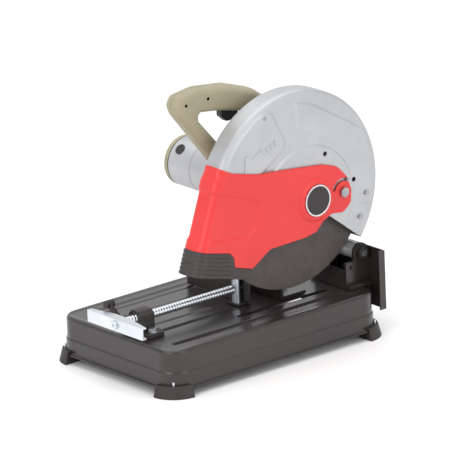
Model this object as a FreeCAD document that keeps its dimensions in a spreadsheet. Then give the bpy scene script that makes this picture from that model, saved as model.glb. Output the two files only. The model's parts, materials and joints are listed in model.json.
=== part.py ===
import FreeCAD, Part
import math
import os
import re

import Sketcher
from FreeCAD import Placement, Rotation, Vector

# Abrasive chop saw, in millimetres.
# X is the user's right, Y runs to the back of the saw, Z is up.
# The origin is on the floor under the middle of the saw.

SIZES = {
    # pressed steel base
    "base_width": 316, "base_length": 480, "base_mid": -12, "table_top": 84,
    "pan_bottom": 15, "pan_corner": 36, "pan_sheet": 3, "flange_out": 8,
    "foot_spread": 16, "foot_rise": 22,
    # wheel, spindle and gears
    "wheel_mid": 85, "wheel_y": 88, "wheel_z": 285, "wheel_radius": 177.5,
    "wheel_thick": 3, "bore_radius": 12.7, "spindle_radius": 10,
    "gear_left": 34, "gear_right": 50, "lock_y": 112, "lock_z": 300,
    # head pivot
    "pivot_y": 226, "pivot_z": 146, "pin_radius": 6, "ear_radius": 17,
    "ear_left": 24, "ear_right": 107, "ear_thick": 6,
    # fixed wheel guard and the casting that carries it
    "guard_radius": 188, "guard_wall": 3, "guard_left": 60, "guard_right": 105,
    "casting_left": 18, "housing_top": 350,
    # motor
    "motor_y": 50, "motor_z": 301, "motor_radius": 46, "motor_wall": 3,
    "motor_left": -150, "cap_left": -163,
    # vise
    "screw_mid": 28, "screw_z": 112, "screw_radius": 8, "jaw_front": 14,
    "jaw_thick": 6, "jaw_left": -120, "jaw_right": 50, "jaw_height": 54,
    "fence_front": 70, "fence_right": 74, "fence_height": 50,
    "crank_front": -272, "crank_half": 76,
    # red safety guard
    "shield_right": 111, "shield_left": 54, "shield_wall": 3,
    "shield_pivot_y": 192, "shield_pivot_z": 266, "boss_y": 128, "boss_z": 266,
    # handle
    "handle_left": -4, "handle_split": 15, "handle_right": 34,
}

doc = FreeCAD.newDocument("AbrasiveChopSaw")
sheet = doc.addObject("Spreadsheet::Sheet", "Sizes")
for row, (alias, number) in enumerate(SIZES.items(), start=1):
    sheet.set(f"A{row}", alias)
    sheet.set(f"B{row}", str(number))
    sheet.setAlias(f"B{row}", alias)
doc.recompute()

ALIAS = re.compile(r"\b(" + "|".join(SIZES) + r")\b")
TURN_TO = {
    "X": Rotation(Vector(0, 1, 0), 90),
    "Y": Rotation(Vector(1, 0, 0), -90),
    "Z": Rotation(),
}
parts = []


def linked(value):
    """The expression of a size, with each alias read from the sheet."""
    return ALIAS.sub(r"Sizes.\1", str(value))


def bind(thing, path, value):
    thing.setExpression(path, linked(value))


def place(thing, spot, turn=Rotation()):
    thing.Placement = Placement(Vector(), turn)
    for axis, value in zip("xyz", spot):
        bind(thing, f"Placement.Base.{axis}", value)


# ---- primitives and booleans ------------------------------------------------

def box(x, y, z):
    """A block between two values on each axis."""
    block = doc.addObject("Part::Box", "Block")
    for side, (low, high) in zip(("Length", "Width", "Height"), (x, y, z)):
        bind(block, side, f"({high}) - ({low})")
    place(block, (x[0], y[0], z[0]))
    return block


def rod(axis, spot, radius, length):
    """A cylinder that starts at spot and runs along an axis."""
    cylinder = doc.addObject("Part::Cylinder", "Rod")
    bind(cylinder, "Radius", radius)
    bind(cylinder, "Height", length)
    place(cylinder, spot, TURN_TO[axis])
    return cylinder


def cone(axis, spot, first, last, length):
    taper = doc.addObject("Part::Cone", "Taper")
    bind(taper, "Radius1", first)
    bind(taper, "Radius2", last)
    bind(taper, "Height", length)
    place(taper, spot, TURN_TO[axis])
    return taper


def hexagon(axis, spot, across, height):
    """A hexagonal head or nut, given its size across the flats."""
    prism = doc.addObject("Part::Prism", "Hexagon")
    prism.Polygon = 6
    bind(prism, "Circumradius", f"({across}) / 1.732")
    bind(prism, "Height", height)
    place(prism, spot, TURN_TO[axis])
    return prism


def fuse(*pieces):
    joined = doc.addObject("Part::MultiFuse", "Joined")
    joined.Shapes = list(pieces)
    return joined


def cut(base, *tools):
    for tool in tools:
        remainder = doc.addObject("Part::Cut", "Remainder")
        remainder.Base = base
        remainder.Tool = tool
        base = remainder
    return base


def common(first, second):
    overlap = doc.addObject("Part::Common", "Overlap")
    overlap.Base = first
    overlap.Tool = second
    return overlap


def group(*pieces):
    """Separate solids that are kept together."""
    compound = doc.addObject("Part::Compound", "Set")
    compound.Links = list(pieces)
    return compound


def tube(axis, spot, outer, inner, length):
    return cut(rod(axis, spot, outer, length), rod(axis, spot, inner, length))


def part(label, thing):
    """Name a finished sub-part."""
    thing.Label = label
    parts.append(thing)
    return thing


# ---- PartDesign -------------------------------------------------------------

def new_body(label=None):
    """A PartDesign body; one without a label is only a step towards a sub-part."""
    body = doc.addObject("PartDesign::Body", "Body")
    return part(label, body) if label else body


def sketch_on(body, role, offset=0):
    plane = next(f for f in body.Origin.OriginFeatures if f.Role == role)
    sketch = body.newObject("Sketcher::SketchObject", "Sketch")
    sketch.AttachmentSupport = [(plane, "")]
    sketch.MapMode = "FlatFace"
    bind(sketch, "AttachmentOffset.Base.z", offset)
    return sketch


def fix(sketch, kind, element, point, value):
    """Dimension one point of a sketch from its origin."""
    index = sketch.addConstraint(Sketcher.Constraint(kind, element, point, known(value)))
    if isinstance(value, str):
        bind(sketch, f"Constraints[{index}]", value)


def polygon(sketch, points):
    """A closed outline of straight sides through dimensioned corners."""
    rough = [Vector(*(known(value) for value in point), 0) for point in points]
    first = sketch.GeometryCount
    count = len(points)
    for number in range(count):
        side = Part.LineSegment(rough[number], rough[(number + 1) % count])
        sketch.addGeometry(side, False)
    for number in range(count):
        after = first + (number + 1) % count
        sketch.addConstraint(Sketcher.Constraint("Coincident", first + number, 2, after, 1))
    for number, (across, up) in enumerate(points):
        fix(sketch, "DistanceX", first + number, 1, across)
        fix(sketch, "DistanceY", first + number, 1, up)


def known(value):
    """The number behind a sketch dimension, for placing the first rough geometry."""
    if isinstance(value, (int, float)):
        return float(value)
    total = 0.0
    for sign, term in re.findall(r"([+-]?)\s*([^+-]+)", value):
        product = 1.0
        for operator, word in re.findall(r"([*/]?)\s*([\w.]+)", term):
            number = float(SIZES[word]) if word in SIZES else float(word)
            product = product / number if operator == "/" else product * number
        total += -product if sign == "-" else product
    return total


def rounded_rectangle(sketch, left, right, front, back, radius):
    """Four tangent sides and corners, dimensioned from the origin."""
    low_x, high_x, low_y, high_y, round_by = (known(value) for value in (left, right, front, back, radius))
    spots = [(high_x - round_by, low_y + round_by), (high_x - round_by, high_y - round_by),
             (low_x + round_by, high_y - round_by), (low_x + round_by, low_y + round_by)]
    arcs = []
    for number, (across, up) in enumerate(spots):
        ring = Part.Circle(Vector(across, up, 0), Vector(0, 0, 1), round_by)
        start = (number - 1) * math.pi / 2
        arc = Part.ArcOfCircle(ring, start, start + math.pi / 2)
        arcs.append(sketch.addGeometry(arc, False))
    sides = []
    for number in range(4):
        ends = [sketch.Geometry[arcs[number - 1]].EndPoint, sketch.Geometry[arcs[number]].StartPoint]
        sides.append(sketch.addGeometry(Part.LineSegment(*ends), False))
    for number in range(4):
        sketch.addConstraint(Sketcher.Constraint("Tangent", arcs[number - 1], 2, sides[number], 1))
        sketch.addConstraint(Sketcher.Constraint("Tangent", sides[number], 2, arcs[number], 1))
        level = "Horizontal" if number % 2 == 0 else "Vertical"
        sketch.addConstraint(Sketcher.Constraint(level, sides[number]))
    for number in range(1, 4):
        sketch.addConstraint(Sketcher.Constraint("Equal", arcs[0], arcs[number]))
    fix(sketch, "DistanceY", sides[0], 1, front)
    fix(sketch, "DistanceX", sides[1], 1, right)
    fix(sketch, "DistanceY", sides[2], 1, back)
    fix(sketch, "DistanceX", sides[3], 1, left)
    limit = sketch.addConstraint(Sketcher.Constraint("Radius", arcs[0], round_by))
    if isinstance(radius, str):
        bind(sketch, f"Constraints[{limit}]", radius)


def circle(sketch, across, up, radius):
    centre = Vector(known(across), known(up), 0)
    index = sketch.addGeometry(Part.Circle(centre, Vector(0, 0, 1), known(radius)), False)
    fix(sketch, "DistanceX", index, 3, across)
    fix(sketch, "DistanceY", index, 3, up)
    limit = sketch.addConstraint(Sketcher.Constraint("Radius", index, known(radius)))
    if isinstance(radius, str):
        bind(sketch, f"Constraints[{limit}]", radius)


def pad(body, sketch, length):
    """Add material along the sketch's normal."""
    feature = body.newObject("PartDesign::Pad", "Pad")
    feature.Profile = sketch
    bind(feature, "Length", length)
    return feature


def pocket(body, sketch, length):
    """Remove material along the sketch's normal."""
    feature = body.newObject("PartDesign::Pocket", "Pocket")
    feature.Profile = sketch
    feature.Reversed = True
    bind(feature, "Length", length)
    return feature


def round_edges(body, radius, wanted, kind="Fillet"):
    """Round or bevel the edges of the body's last feature that a test accepts."""
    doc.recompute()
    base = body.Tip
    names = [f"Edge{n}" for n, edge in enumerate(base.Shape.Edges, start=1) if wanted(edge)]
    feature = body.newObject(f"PartDesign::{kind}", kind)
    feature.Base = (base, names)
    bind(feature, "Radius" if kind == "Fillet" else "Size", radius)
    return feature


def corner_test(axis, corners, reach=1.0):
    """Accept the straight edges along an axis that stand on given corners."""
    keep = [n for n in range(3) if n != axis]

    def test(edge):
        ends = [vertex.Point for vertex in edge.Vertexes]
        if len(ends) < 2 or abs(ends[0][axis] - ends[1][axis]) < 0.5:
            return False
        if max(abs(ends[0][n] - ends[1][n]) for n in keep) > 0.01:
            return False
        spot = [ends[0][n] for n in keep]
        return any(math.dist(spot, corner) < reach for corner in corners)

    return test


def height_test(level):
    """Accept the edges that lie in one horizontal plane."""
    def test(edge):
        limits = edge.BoundBox
        return abs(limits.ZMin - level) < 0.01 and abs(limits.ZMax - level) < 0.01

    return test


def block_body(label, role, offset, points, length):
    """A body made by padding one outline."""
    body = new_body(label)
    sketch = sketch_on(body, role, offset)
    polygon(sketch, points)
    pad(body, sketch, length)
    return body


# ---- base -------------------------------------------------------------------

BOLT_SPOTS = {
    "bracket": [(62, 204), (94, 204), (62, 220), (94, 220)],
    "fence": [(-70, 108), (30, 108)],
    "vise": [(-8, -199), (57, -211)],
}
CORNERS = [(side, end) for side in (-1, 1) for end in (-1, 1)]


def pan_outline(sketch, grow="+ 0", shrink="- 0"):
    """The pan's outline in plan, with the same amount added and taken away on opposite sides."""
    rounded_rectangle(
        sketch, f"-base_width / 2 {shrink}", f"base_width / 2 {grow}",
        f"base_mid - base_length / 2 {shrink}", f"base_mid + base_length / 2 {grow}",
        f"pan_corner {grow}",
    )


def make_base_pan():
    body = new_body("base_pan")
    tray = sketch_on(body, "XY_Plane", "pan_bottom")
    pan_outline(tray)
    pad(body, tray, "table_top - pan_bottom")
    round_edges(body, 5, height_test(SIZES["table_top"]))
    flange = sketch_on(body, "XY_Plane", "pan_bottom")
    pan_outline(flange, "+ flange_out", "- flange_out")
    pad(body, flange, "pan_sheet")
    hollow = sketch_on(body, "XY_Plane", "pan_bottom")
    pan_outline(hollow, "- pan_sheet", "+ pan_sheet")
    pocket(body, hollow, "table_top - pan_bottom - pan_sheet")
    slot = sketch_on(body, "XY_Plane", "table_top - 10")
    polygon(slot, [
        ("wheel_mid - 6", -40), ("wheel_mid + 6", -40),
        ("wheel_mid + 6", 165), ("wheel_mid - 6", 165),
    ])
    pocket(body, slot, 20)
    for left, right, front, back in ((114, 122, -222, 172), (40, 48, -188, -20), (-138, -128, -190, 60)):
        bead = sketch_on(body, "XY_Plane", "table_top - 1.2")
        polygon(bead, [(left, front), (right, front), (right, back), (left, back)])
        pocket(body, bead, 10)
    holes = sketch_on(body, "XY_Plane", "table_top - 10")
    for kind, radius in (("bracket", 4), ("fence", 5), ("vise", 4)):
        for across, up in BOLT_SPOTS[kind]:
            circle(holes, across, up, radius)
    pocket(body, holes, 20)
    drills = sketch_on(body, "XY_Plane", "pan_bottom - 1")
    for side, end in CORNERS:
        across, up = foot_screw_spot(side, end)
        circle(drills, across, up, 2.5)
    pocket(body, drills, 6)


def corner_centre(side, end):
    """The centre of one of the pan's rounded corners, as expressions."""
    across = f"{side} * (base_width / 2 - pan_corner)"
    up = f"base_mid + {end} * (base_length / 2 - pan_corner)"
    return across, up


def foot_screw_spot(side, end):
    """A foot's screw, in the flange on the corner's diagonal."""
    reach = (SIZES["pan_corner"] + 4) / math.sqrt(2)
    half_wide = SIZES["base_width"] / 2 - SIZES["pan_corner"]
    half_long = SIZES["base_length"] / 2 - SIZES["pan_corner"]
    return side * (half_wide + reach), SIZES["base_mid"] + end * (half_long + reach)


def make_feet():
    names = {(-1, -1): "foot_front_left", (1, -1): "foot_front_right",
             (-1, 1): "foot_rear_left", (1, 1): "foot_rear_right"}
    screws = []
    for side, end in CORNERS:
        across, up = corner_centre(side, end)
        skirt = cone("Z", (across, up, 0), "pan_corner + foot_spread", "pan_corner + 10", "foot_rise")
        groove_radius = "pan_corner + flange_out + 0.3"
        groove = rod("Z", (across, up, "pan_bottom - 0.3"), groove_radius, "pan_sheet + 0.6")
        upper = rod("Z", (across, up, "pan_bottom + pan_sheet"), "pan_corner + 0.3", 20)
        core = rod("Z", (across, up, -1), "pan_corner - 16", 40)
        spot = foot_screw_spot(side, end)
        drill = rod("Z", (*spot, -1), 2.5, 40)
        sink = rod("Z", (*spot, -1), 5.5, 13)
        width = (across, f"{across} + 60") if side > 0 else (f"{across} - 60", across)
        depth = (up, f"{up} + 60") if end > 0 else (f"{up} - 60", up)
        quarter = common(skirt, box(width, depth, (0, 40)))
        part(names[side, end], cut(quarter, groove, upper, core, drill, sink))
        head = rod("Z", (*spot, 8), 4.8, 4)
        shank = rod("Z", (*spot, 12), 2.5, 17)
        screws.append(fuse(head, shank))
    part("foot_screws", group(*screws))


# ---- work stop and vise -----------------------------------------------------

def hex_bolt(spot, across, shank, head_height, length):
    """An upright bolt whose head sits on the height given in spot."""
    x, y, z = spot
    washer = rod("Z", (x, y, z), f"{across} * 0.62", 1.5)
    head = hexagon("Z", (x, y, f"{z} + 1.5"), across, head_height)
    stem = rod("Z", (x, y, f"{z} - {length}"), shank, f"{length} + 1")
    return fuse(washer, head, stem)


def make_fence():
    body = block_body("fence", "YZ_Plane", -110, [
        ("fence_front", "table_top"), ("fence_front + 58", "table_top"),
        ("fence_front + 58", "table_top + 6"), ("fence_front + 6", "table_top + 6"),
        ("fence_front + 6", "table_top + fence_height"), ("fence_front", "table_top + fence_height"),
    ], "fence_right + 110")
    round_edges(body, 4, corner_test(0, [(SIZES["fence_front"] + 6, SIZES["table_top"] + 6)]))
    slots = sketch_on(body, "XY_Plane", "table_top - 1")
    for across, up in BOLT_SPOTS["fence"]:
        polygon(slots, [
            (across - 5, up - 12), (across + 5, up - 12), (across + 5, up + 12), (across - 5, up + 12),
        ])
    pocket(body, slots, 10)


def make_vise_bracket():
    body = block_body("vise_bracket", "XY_Plane", "table_top", [
        (-17, -232), (68, -232), (68, -190), (-17, -190),
    ], 7)
    round_edges(body, 8, corner_test(2, [(-17, -232), (68, -232), (68, -190), (-17, -190)]))
    tower = sketch_on(body, "XZ_Plane", 196)
    polygon(tower, [
        ("screw_mid - 17", 90), ("screw_mid + 17", 90),
        ("screw_mid + 17", "screw_z + 8"), ("screw_mid + 9", "screw_z + 15"),
        ("screw_mid - 9", "screw_z + 15"), ("screw_mid - 17", "screw_z + 8"),
    ])
    pad(body, tower, 30)
    lug = sketch_on(body, "XZ_Plane", 218)
    polygon(lug, [(-5, 90), ("screw_mid - 16", 90), ("screw_mid - 16", 110), (-5, 110)])
    pad(body, lug, 8)
    bore = sketch_on(body, "XZ_Plane", 180)
    circle(bore, "screw_mid", "screw_z", "screw_radius + 0.4")
    circle(bore, 3, 101, 3)
    pocket(body, bore, 60)
    drill = sketch_on(body, "XY_Plane", "table_top - 1")
    for across, up in BOLT_SPOTS["vise"]:
        circle(drill, across, up, 4)
    pocket(body, drill, 10)


def make_table_bolts():
    stop_spots = [(across, up, "table_top + 6") for across, up in BOLT_SPOTS["fence"]]
    vise_spots = [(across, up, "table_top + 7") for across, up in BOLT_SPOTS["vise"]]
    stop_bolts = [hex_bolt(spot, 17, 5, 7, 20) for spot in stop_spots]
    vise_bolts = [hex_bolt(spot, 13, 4, 5.5, 18) for spot in vise_spots]
    part("table_bolts", group(*stop_bolts, *vise_bolts))


def make_half_nut_lever():
    arm = block_body("half_nut_lever", "XZ_Plane", 233.5, [
        (-4, 96), (8, 93), (11, 104), (4, 109), (-30, 133), (-38, 127),
    ], 5)
    round_edges(arm, 2, corner_test(1, [(-4, 96), (8, 93), (11, 104), (-30, 133), (-38, 127)]))
    tip = sketch_on(arm, "XZ_Plane", 226)
    circle(tip, -33, 128, 7)
    pad(arm, tip, 17)
    bore = sketch_on(arm, "XZ_Plane", 220)
    circle(bore, 3, 101, 3.06)
    pocket(arm, bore, 40)
    stem = rod("Y", (3, -240.5, 101), 3, 22)
    head = rod("Y", (3, -242.5, 101), 5.5, 3)
    part("half_nut_pin", fuse(stem, head))


def make_vise_screw():
    thread = rod("Y", ("screw_mid", "crank_front + 2.5", "screw_z"), "screw_radius", "-crank_front - 5.5")
    journal = rod("Y", ("screw_mid", -4, "screw_z"), 4, 17)
    rivet_hole = rod("Y", ("screw_mid", "crank_front", "screw_z"), 4, 14)
    part("vise_screw", cut(fuse(thread, journal), rivet_hole))
    shank = rod("Y", ("screw_mid", "crank_front - 1", "screw_z"), 4, 14)
    eyelet = tube("Y", ("screw_mid", "crank_front - 4", "screw_z"), 8, 2.5, 4)
    part("crank_rivet", fuse(shank, eyelet))


def make_crank_handle():
    """A folded channel, deepest in the middle, open towards the saw."""
    body = block_body("crank_handle", "XY_Plane", "screw_z - 11", [
        ("screw_mid - crank_half", "crank_front"), ("screw_mid + crank_half", "crank_front"),
        ("screw_mid + crank_half", "crank_front + 9"), ("screw_mid + 22", "crank_front + 20"),
        ("screw_mid - 22", "crank_front + 20"), ("screw_mid - crank_half", "crank_front + 9"),
    ], 22)
    inside = sketch_on(body, "XY_Plane", "screw_z - 8.5")
    polygon(inside, [
        ("screw_mid - crank_half - 1", "crank_front + 2.5"),
        ("screw_mid + crank_half + 1", "crank_front + 2.5"),
        ("screw_mid + crank_half + 1", "crank_front + 30"),
        ("screw_mid - crank_half - 1", "crank_front + 30"),
    ])
    pocket(body, inside, 17)
    hole = sketch_on(body, "XZ_Plane", "-crank_front - 5")
    circle(hole, "screw_mid", "screw_z", 4)
    pocket(body, hole, 10)


def make_vise_jaw():
    top = "table_top + 0.5 + jaw_height"
    body = block_body("vise_jaw", "XZ_Plane", "-jaw_front - jaw_thick", [
        ("jaw_left", "table_top + 0.5"), ("jaw_right", "table_top + 0.5"),
        ("jaw_right", top), ("jaw_left", top),
    ], "jaw_thick")
    round_edges(body, 8, corner_test(1, [(known("jaw_left"), known(top)), (known("jaw_right"), known(top))]))
    foot = sketch_on(body, "XY_Plane", "table_top + 0.5")
    polygon(foot, [
        ("screw_mid - 17", "jaw_front - 20"), ("screw_mid + 17", "jaw_front - 20"),
        ("screw_mid + 17", "jaw_front + 1"), ("screw_mid - 17", "jaw_front + 1"),
    ])
    pad(body, foot, 4)
    holes = sketch_on(body, "XZ_Plane", "-jaw_front - jaw_thick - 1")
    circle(holes, "jaw_left + 20", 118, 6)
    pocket(body, holes, "jaw_thick + 2")
    post = rod("Z", ("screw_mid", 5, "table_top + 4.5"), 7.5, 54)
    journal = rod("Y", ("screw_mid", -10, "screw_z"), 4.06, 30)
    part("jaw_pin", cut(post, journal))


# ---- rear bracket -----------------------------------------------------------

def ear(left):
    """One upright side of the bracket with the rounded pivot ear."""
    side = (left, f"{left} + ear_thick")
    plate = box(side, (190, 247), ("table_top + 6", "pivot_z - 14"))
    neck = box(side, ("pivot_y - ear_radius", "pivot_y + ear_radius"), ("table_top + 6", "pivot_z"))
    top = rod("X", (left, "pivot_y", "pivot_z"), "ear_radius", "ear_thick")
    return fuse(plate, neck, top)


def make_pivot_bracket():
    sole = box(("ear_left - 10", "ear_right + 16"), (190, 247), ("table_top", "table_top + 7"))
    front = box(("ear_left", "ear_right + ear_thick"), (190, 195), ("table_top + 6", "table_top + 34"))
    back = box(("ear_left", "ear_right + ear_thick"), (241, 247), (60, 130))
    boss = rod("Z", (46, 202, "table_top + 6"), 8, 17)
    holes = [rod("Z", (x, y, 70), 4, 30) for x, y in BOLT_SPOTS["bracket"]]
    holes.append(rod("X", (0, "pivot_y", "pivot_z"), "pin_radius", 150))
    holes.append(rod("X", (100, 201, 122), 3.5, 30))
    holes.append(rod("Z", (46, 202, 95), 4, 30))
    holes += [rod("Y", (x, 230, 100), 4, 30) for x in (46, 91)]
    shell = fuse(sole, ear("ear_left"), ear("ear_right"), front, back, boss)
    part("pivot_bracket", cut(shell, *holes))
    spots = [(x, y, "table_top + 7") for x, y in BOLT_SPOTS["bracket"]]
    plate_bolts = [
        fuse(rod("Y", (x, 238, 100), 4, 13), hexagon("Y", (x, 250, 100), 13, 5)) for x in (46, 91)
    ]
    part("bracket_bolts", group(*(hex_bolt(spot, 13, 4, 5.5, 18) for spot in spots), *plate_bolts))
    stop = fuse(rod("Z", (46, 202, 96), 4, 36), hexagon("Z", (46, 202, 131), 13, 5))
    locknut = hexagon("Z", (46, 202, "table_top + 23"), 13, 6)
    part("depth_stop_bolt", group(stop, cut(locknut, rod("Z", (46, 202, 95), 4, 30))))


def make_pivot_pin():
    spot = ("ear_left - 9", "pivot_y", "pivot_z")
    part("pivot_pin", rod("X", spot, "pin_radius", "ear_right - ear_left + 25"))
    nuts = []
    for left in ("ear_left - 8", "ear_right + ear_thick"):
        nut = hexagon("X", (left, "pivot_y", "pivot_z"), 19, 8)
        bore = rod("X", (f"{left} - 1", "pivot_y", "pivot_z"), "pin_radius", 10)
        nuts.append(cut(nut, bore))
    part("pivot_nuts", group(*nuts))


def make_return_spring():
    """Separate rings stand for the turns, with one leg down to the bracket."""
    turns = []
    for number in range(5):
        ring = doc.addObject("Part::Torus", "Turn")
        bind(ring, "Radius1", 11.5)
        bind(ring, "Radius2", 1.5)
        place(ring, (f"ear_left + 8.5 + {number} * 3.6", "pivot_y", "pivot_z"), TURN_TO["X"])
        turns.append(ring)
    leg = rod("Z", ("ear_left + 8.5", "pivot_y + 11.5", "table_top + 7"), 1.5, "pivot_z - table_top - 7")
    part("return_spring", group(fuse(turns[0], leg), *turns[1:]))


def make_spark_plate():
    body = block_body("spark_plate", "XZ_Plane", -250, [(24, 42), (150, 42), (150, 152), (24, 152)], 3)
    edge = sketch_on(body, "XZ_Plane", -249)
    polygon(edge, [(147, 42), (150, 42), (150, 152), (147, 152)])
    pad(body, edge, 13)
    holes = sketch_on(body, "XZ_Plane", -252)
    for across in (46, 91):
        circle(holes, across, 100, 4)
    pocket(body, holes, 10)


# ---- head casting, gears and spindle ----------------------------------------

def make_head_casting():
    outline = [
        (-2, 270), (-2, 334), (14, "housing_top"), (120, "housing_top"), (139, 328),
        (140, 262), (122, 238), (60, 236), (20, 250),
    ]
    body = block_body("head_casting", "YZ_Plane", "casting_left", outline, "guard_left - casting_left")
    corners = [(known(across), known(up)) for across, up in outline]
    round_edges(body, 7, corner_test(0, corners))
    arm = sketch_on(body, "YZ_Plane", 36)
    polygon(arm, [(106, 246), (130, 325), (150, 300), (242, 156), (240, 134), (214, 132)])
    pad(body, arm, "guard_left - 36")
    barrel = sketch_on(body, "YZ_Plane", 52)
    circle(barrel, "pivot_y", "pivot_z", 15)
    pad(body, barrel, "ear_right - 53")
    for across, up, radius in (("wheel_y", "wheel_z", 40), ("motor_y", "motor_z", 21)):
        cavity = sketch_on(body, "YZ_Plane", 24)
        circle(cavity, across, up, radius)
        pocket(body, cavity, 40)
    seats = (("wheel_y", "wheel_z", 13, 20), ("motor_y", "motor_z", 13, 10), ("lock_y", "lock_z", 6.1, 10),
             ("pivot_y", "pivot_z", "pin_radius + 0.06", 10))
    for across, up, radius, start in seats:
        seat = sketch_on(body, "YZ_Plane", start)
        circle(seat, across, up, radius)
        pocket(body, seat, 100 if across == "pivot_y" else 20)
    spring_room = sketch_on(body, "YZ_Plane", 30)
    circle(spring_room, "pivot_y", "pivot_z", 22)
    pocket(body, spring_room, 22)


def make_gearbox_cover():
    large = rod("X", ("guard_left - 4", "wheel_y", "wheel_z"), 39.8, 4)
    small = rod("X", ("guard_left - 4", "motor_y", "motor_z"), 20.8, 4)
    boss = rod("X", ("guard_left - 9", "wheel_y", "wheel_z"), 22, 6)
    bore = rod("X", ("guard_left - 20", "wheel_y", "wheel_z"), 17.5, 40)
    part("gearbox_cover", cut(fuse(large, small, boss), bore))


def gear_solid(teeth, pitch_radius, phase, left, right, bore):
    """A spur gear with straight-sided teeth, thin enough to turn freely in mesh."""
    module = 2 * pitch_radius / teeth
    tip, root = pitch_radius + 0.8 * module, pitch_radius - 1.1 * module
    step = 2 * math.pi / teeth
    points = []
    for number in range(teeth):
        middle = phase + number * step
        for radius, share in ((root, -0.31), (tip, -0.11), (tip, 0.11), (root, 0.31)):
            angle = middle + share * step
            points.append(Vector(0, radius * math.cos(angle), radius * math.sin(angle)))
    points.append(points[0])
    face = Part.Face(Part.makePolygon(points))
    solid = face.extrude(Vector(right - left, 0, 0))
    if bore:
        hole = Part.makeCylinder(bore, right - left + 2, Vector(-1, 0, 0), Vector(1, 0, 0))
        solid = solid.cut(hole)
    return solid


GEAR_TEETH = 37
PINION_TEETH = 9
CENTRE_LINE = math.atan2(SIZES["motor_z"] - SIZES["wheel_z"], SIZES["motor_y"] - SIZES["wheel_y"])
CENTRE_GAP = math.hypot(SIZES["motor_z"] - SIZES["wheel_z"], SIZES["motor_y"] - SIZES["wheel_y"])


def feature(label, shape, spot):
    thing = doc.addObject("Part::Feature", "Shaped")
    thing.Shape = shape
    thing.Placement = Placement(Vector(*spot), Rotation())
    return part(label, thing)


def make_gears():
    gear_radius = CENTRE_GAP * GEAR_TEETH / (GEAR_TEETH + PINION_TEETH)
    left, right = SIZES["gear_left"], SIZES["gear_right"]
    wheel_gear = gear_solid(GEAR_TEETH, gear_radius, CENTRE_LINE, left, right, SIZES["spindle_radius"])
    away_y, away_z = SIZES["lock_y"] - SIZES["wheel_y"], SIZES["lock_z"] - SIZES["wheel_z"]
    for across, up in ((away_y, away_z), (-away_z, away_y), (-away_y, -away_z), (away_z, -away_y)):
        lock_hole = Part.makeCylinder(6.2, 6, Vector(-1, across, up), Vector(1, 0, 0))
        wheel_gear = wheel_gear.cut(lock_hole)
    feature("spindle_gear", wheel_gear, (left, SIZES["wheel_y"], SIZES["wheel_z"]))
    pinion_radius = CENTRE_GAP - gear_radius
    phase = CENTRE_LINE + math.pi + math.pi / PINION_TEETH
    teeth = gear_solid(PINION_TEETH, pinion_radius, phase, left, right + 1, 0)
    reach = left - SIZES["motor_left"] - 4
    shaft = Part.makeCylinder(5, reach + 2, Vector(-reach, 0, 0), Vector(1, 0, 0))
    feature("armature_shaft", teeth.fuse(shaft), (left, SIZES["motor_y"], SIZES["motor_z"]))


def on_spindle(left, radius, length):
    return rod("X", (left, "wheel_y", "wheel_z"), radius, length)


def make_spindle():
    rear, middle = on_spindle(20, 6, 8), on_spindle(26, "spindle_radius", 46)
    nose = on_spindle(70, "bore_radius - 0.05", 18)
    part("spindle", cut(fuse(rear, middle, nose), on_spindle(76, 5, 20)))
    inner = "wheel_mid - wheel_thick / 2"
    outer = "wheel_mid + wheel_thick / 2"
    clamp = fuse(on_spindle(f"{inner} - 5", 37, 5), on_spindle("72", 20, f"{inner} - 72"))
    part("inner_flange", cut(clamp, on_spindle(60, "bore_radius", 40)))
    disc = cut(on_spindle(outer, 37, 5), on_spindle(80, "bore_radius", 8), on_spindle(80, 5, 20))
    part("outer_flange", disc)
    wheel = cut(on_spindle(inner, "wheel_radius", "wheel_thick"), on_spindle(80, "bore_radius", 10))
    part("abrasive_wheel", wheel)
    head = hexagon("X", (f"{outer} + 6.5", "wheel_y", "wheel_z"), 17, 6)
    washer = on_spindle(f"{outer} + 5", 11, 1.5)
    part("arbor_bolt", fuse(head, washer, on_spindle(77, 5, 16)))
    part("ball_bearings", group(
        tube("X", (20, "wheel_y", "wheel_z"), 13, 6, 6),
        tube("X", ("guard_left - 9", "wheel_y", "wheel_z"), 17.5, "spindle_radius", 9),
        tube("X", ("motor_left + 4", "motor_y", "motor_z"), 11, 5, 8),
        tube("X", ("casting_left", "motor_y", "motor_z"), 13, 5, 6),
    ))


def make_spindle_lock():
    button = rod("X", (3, "lock_y", "lock_z"), 9, 5)
    stem = rod("X", (7, "lock_y", "lock_z"), 6, 21)
    part("spindle_lock", fuse(button, stem))


# ---- fixed wheel guard ------------------------------------------------------

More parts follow.
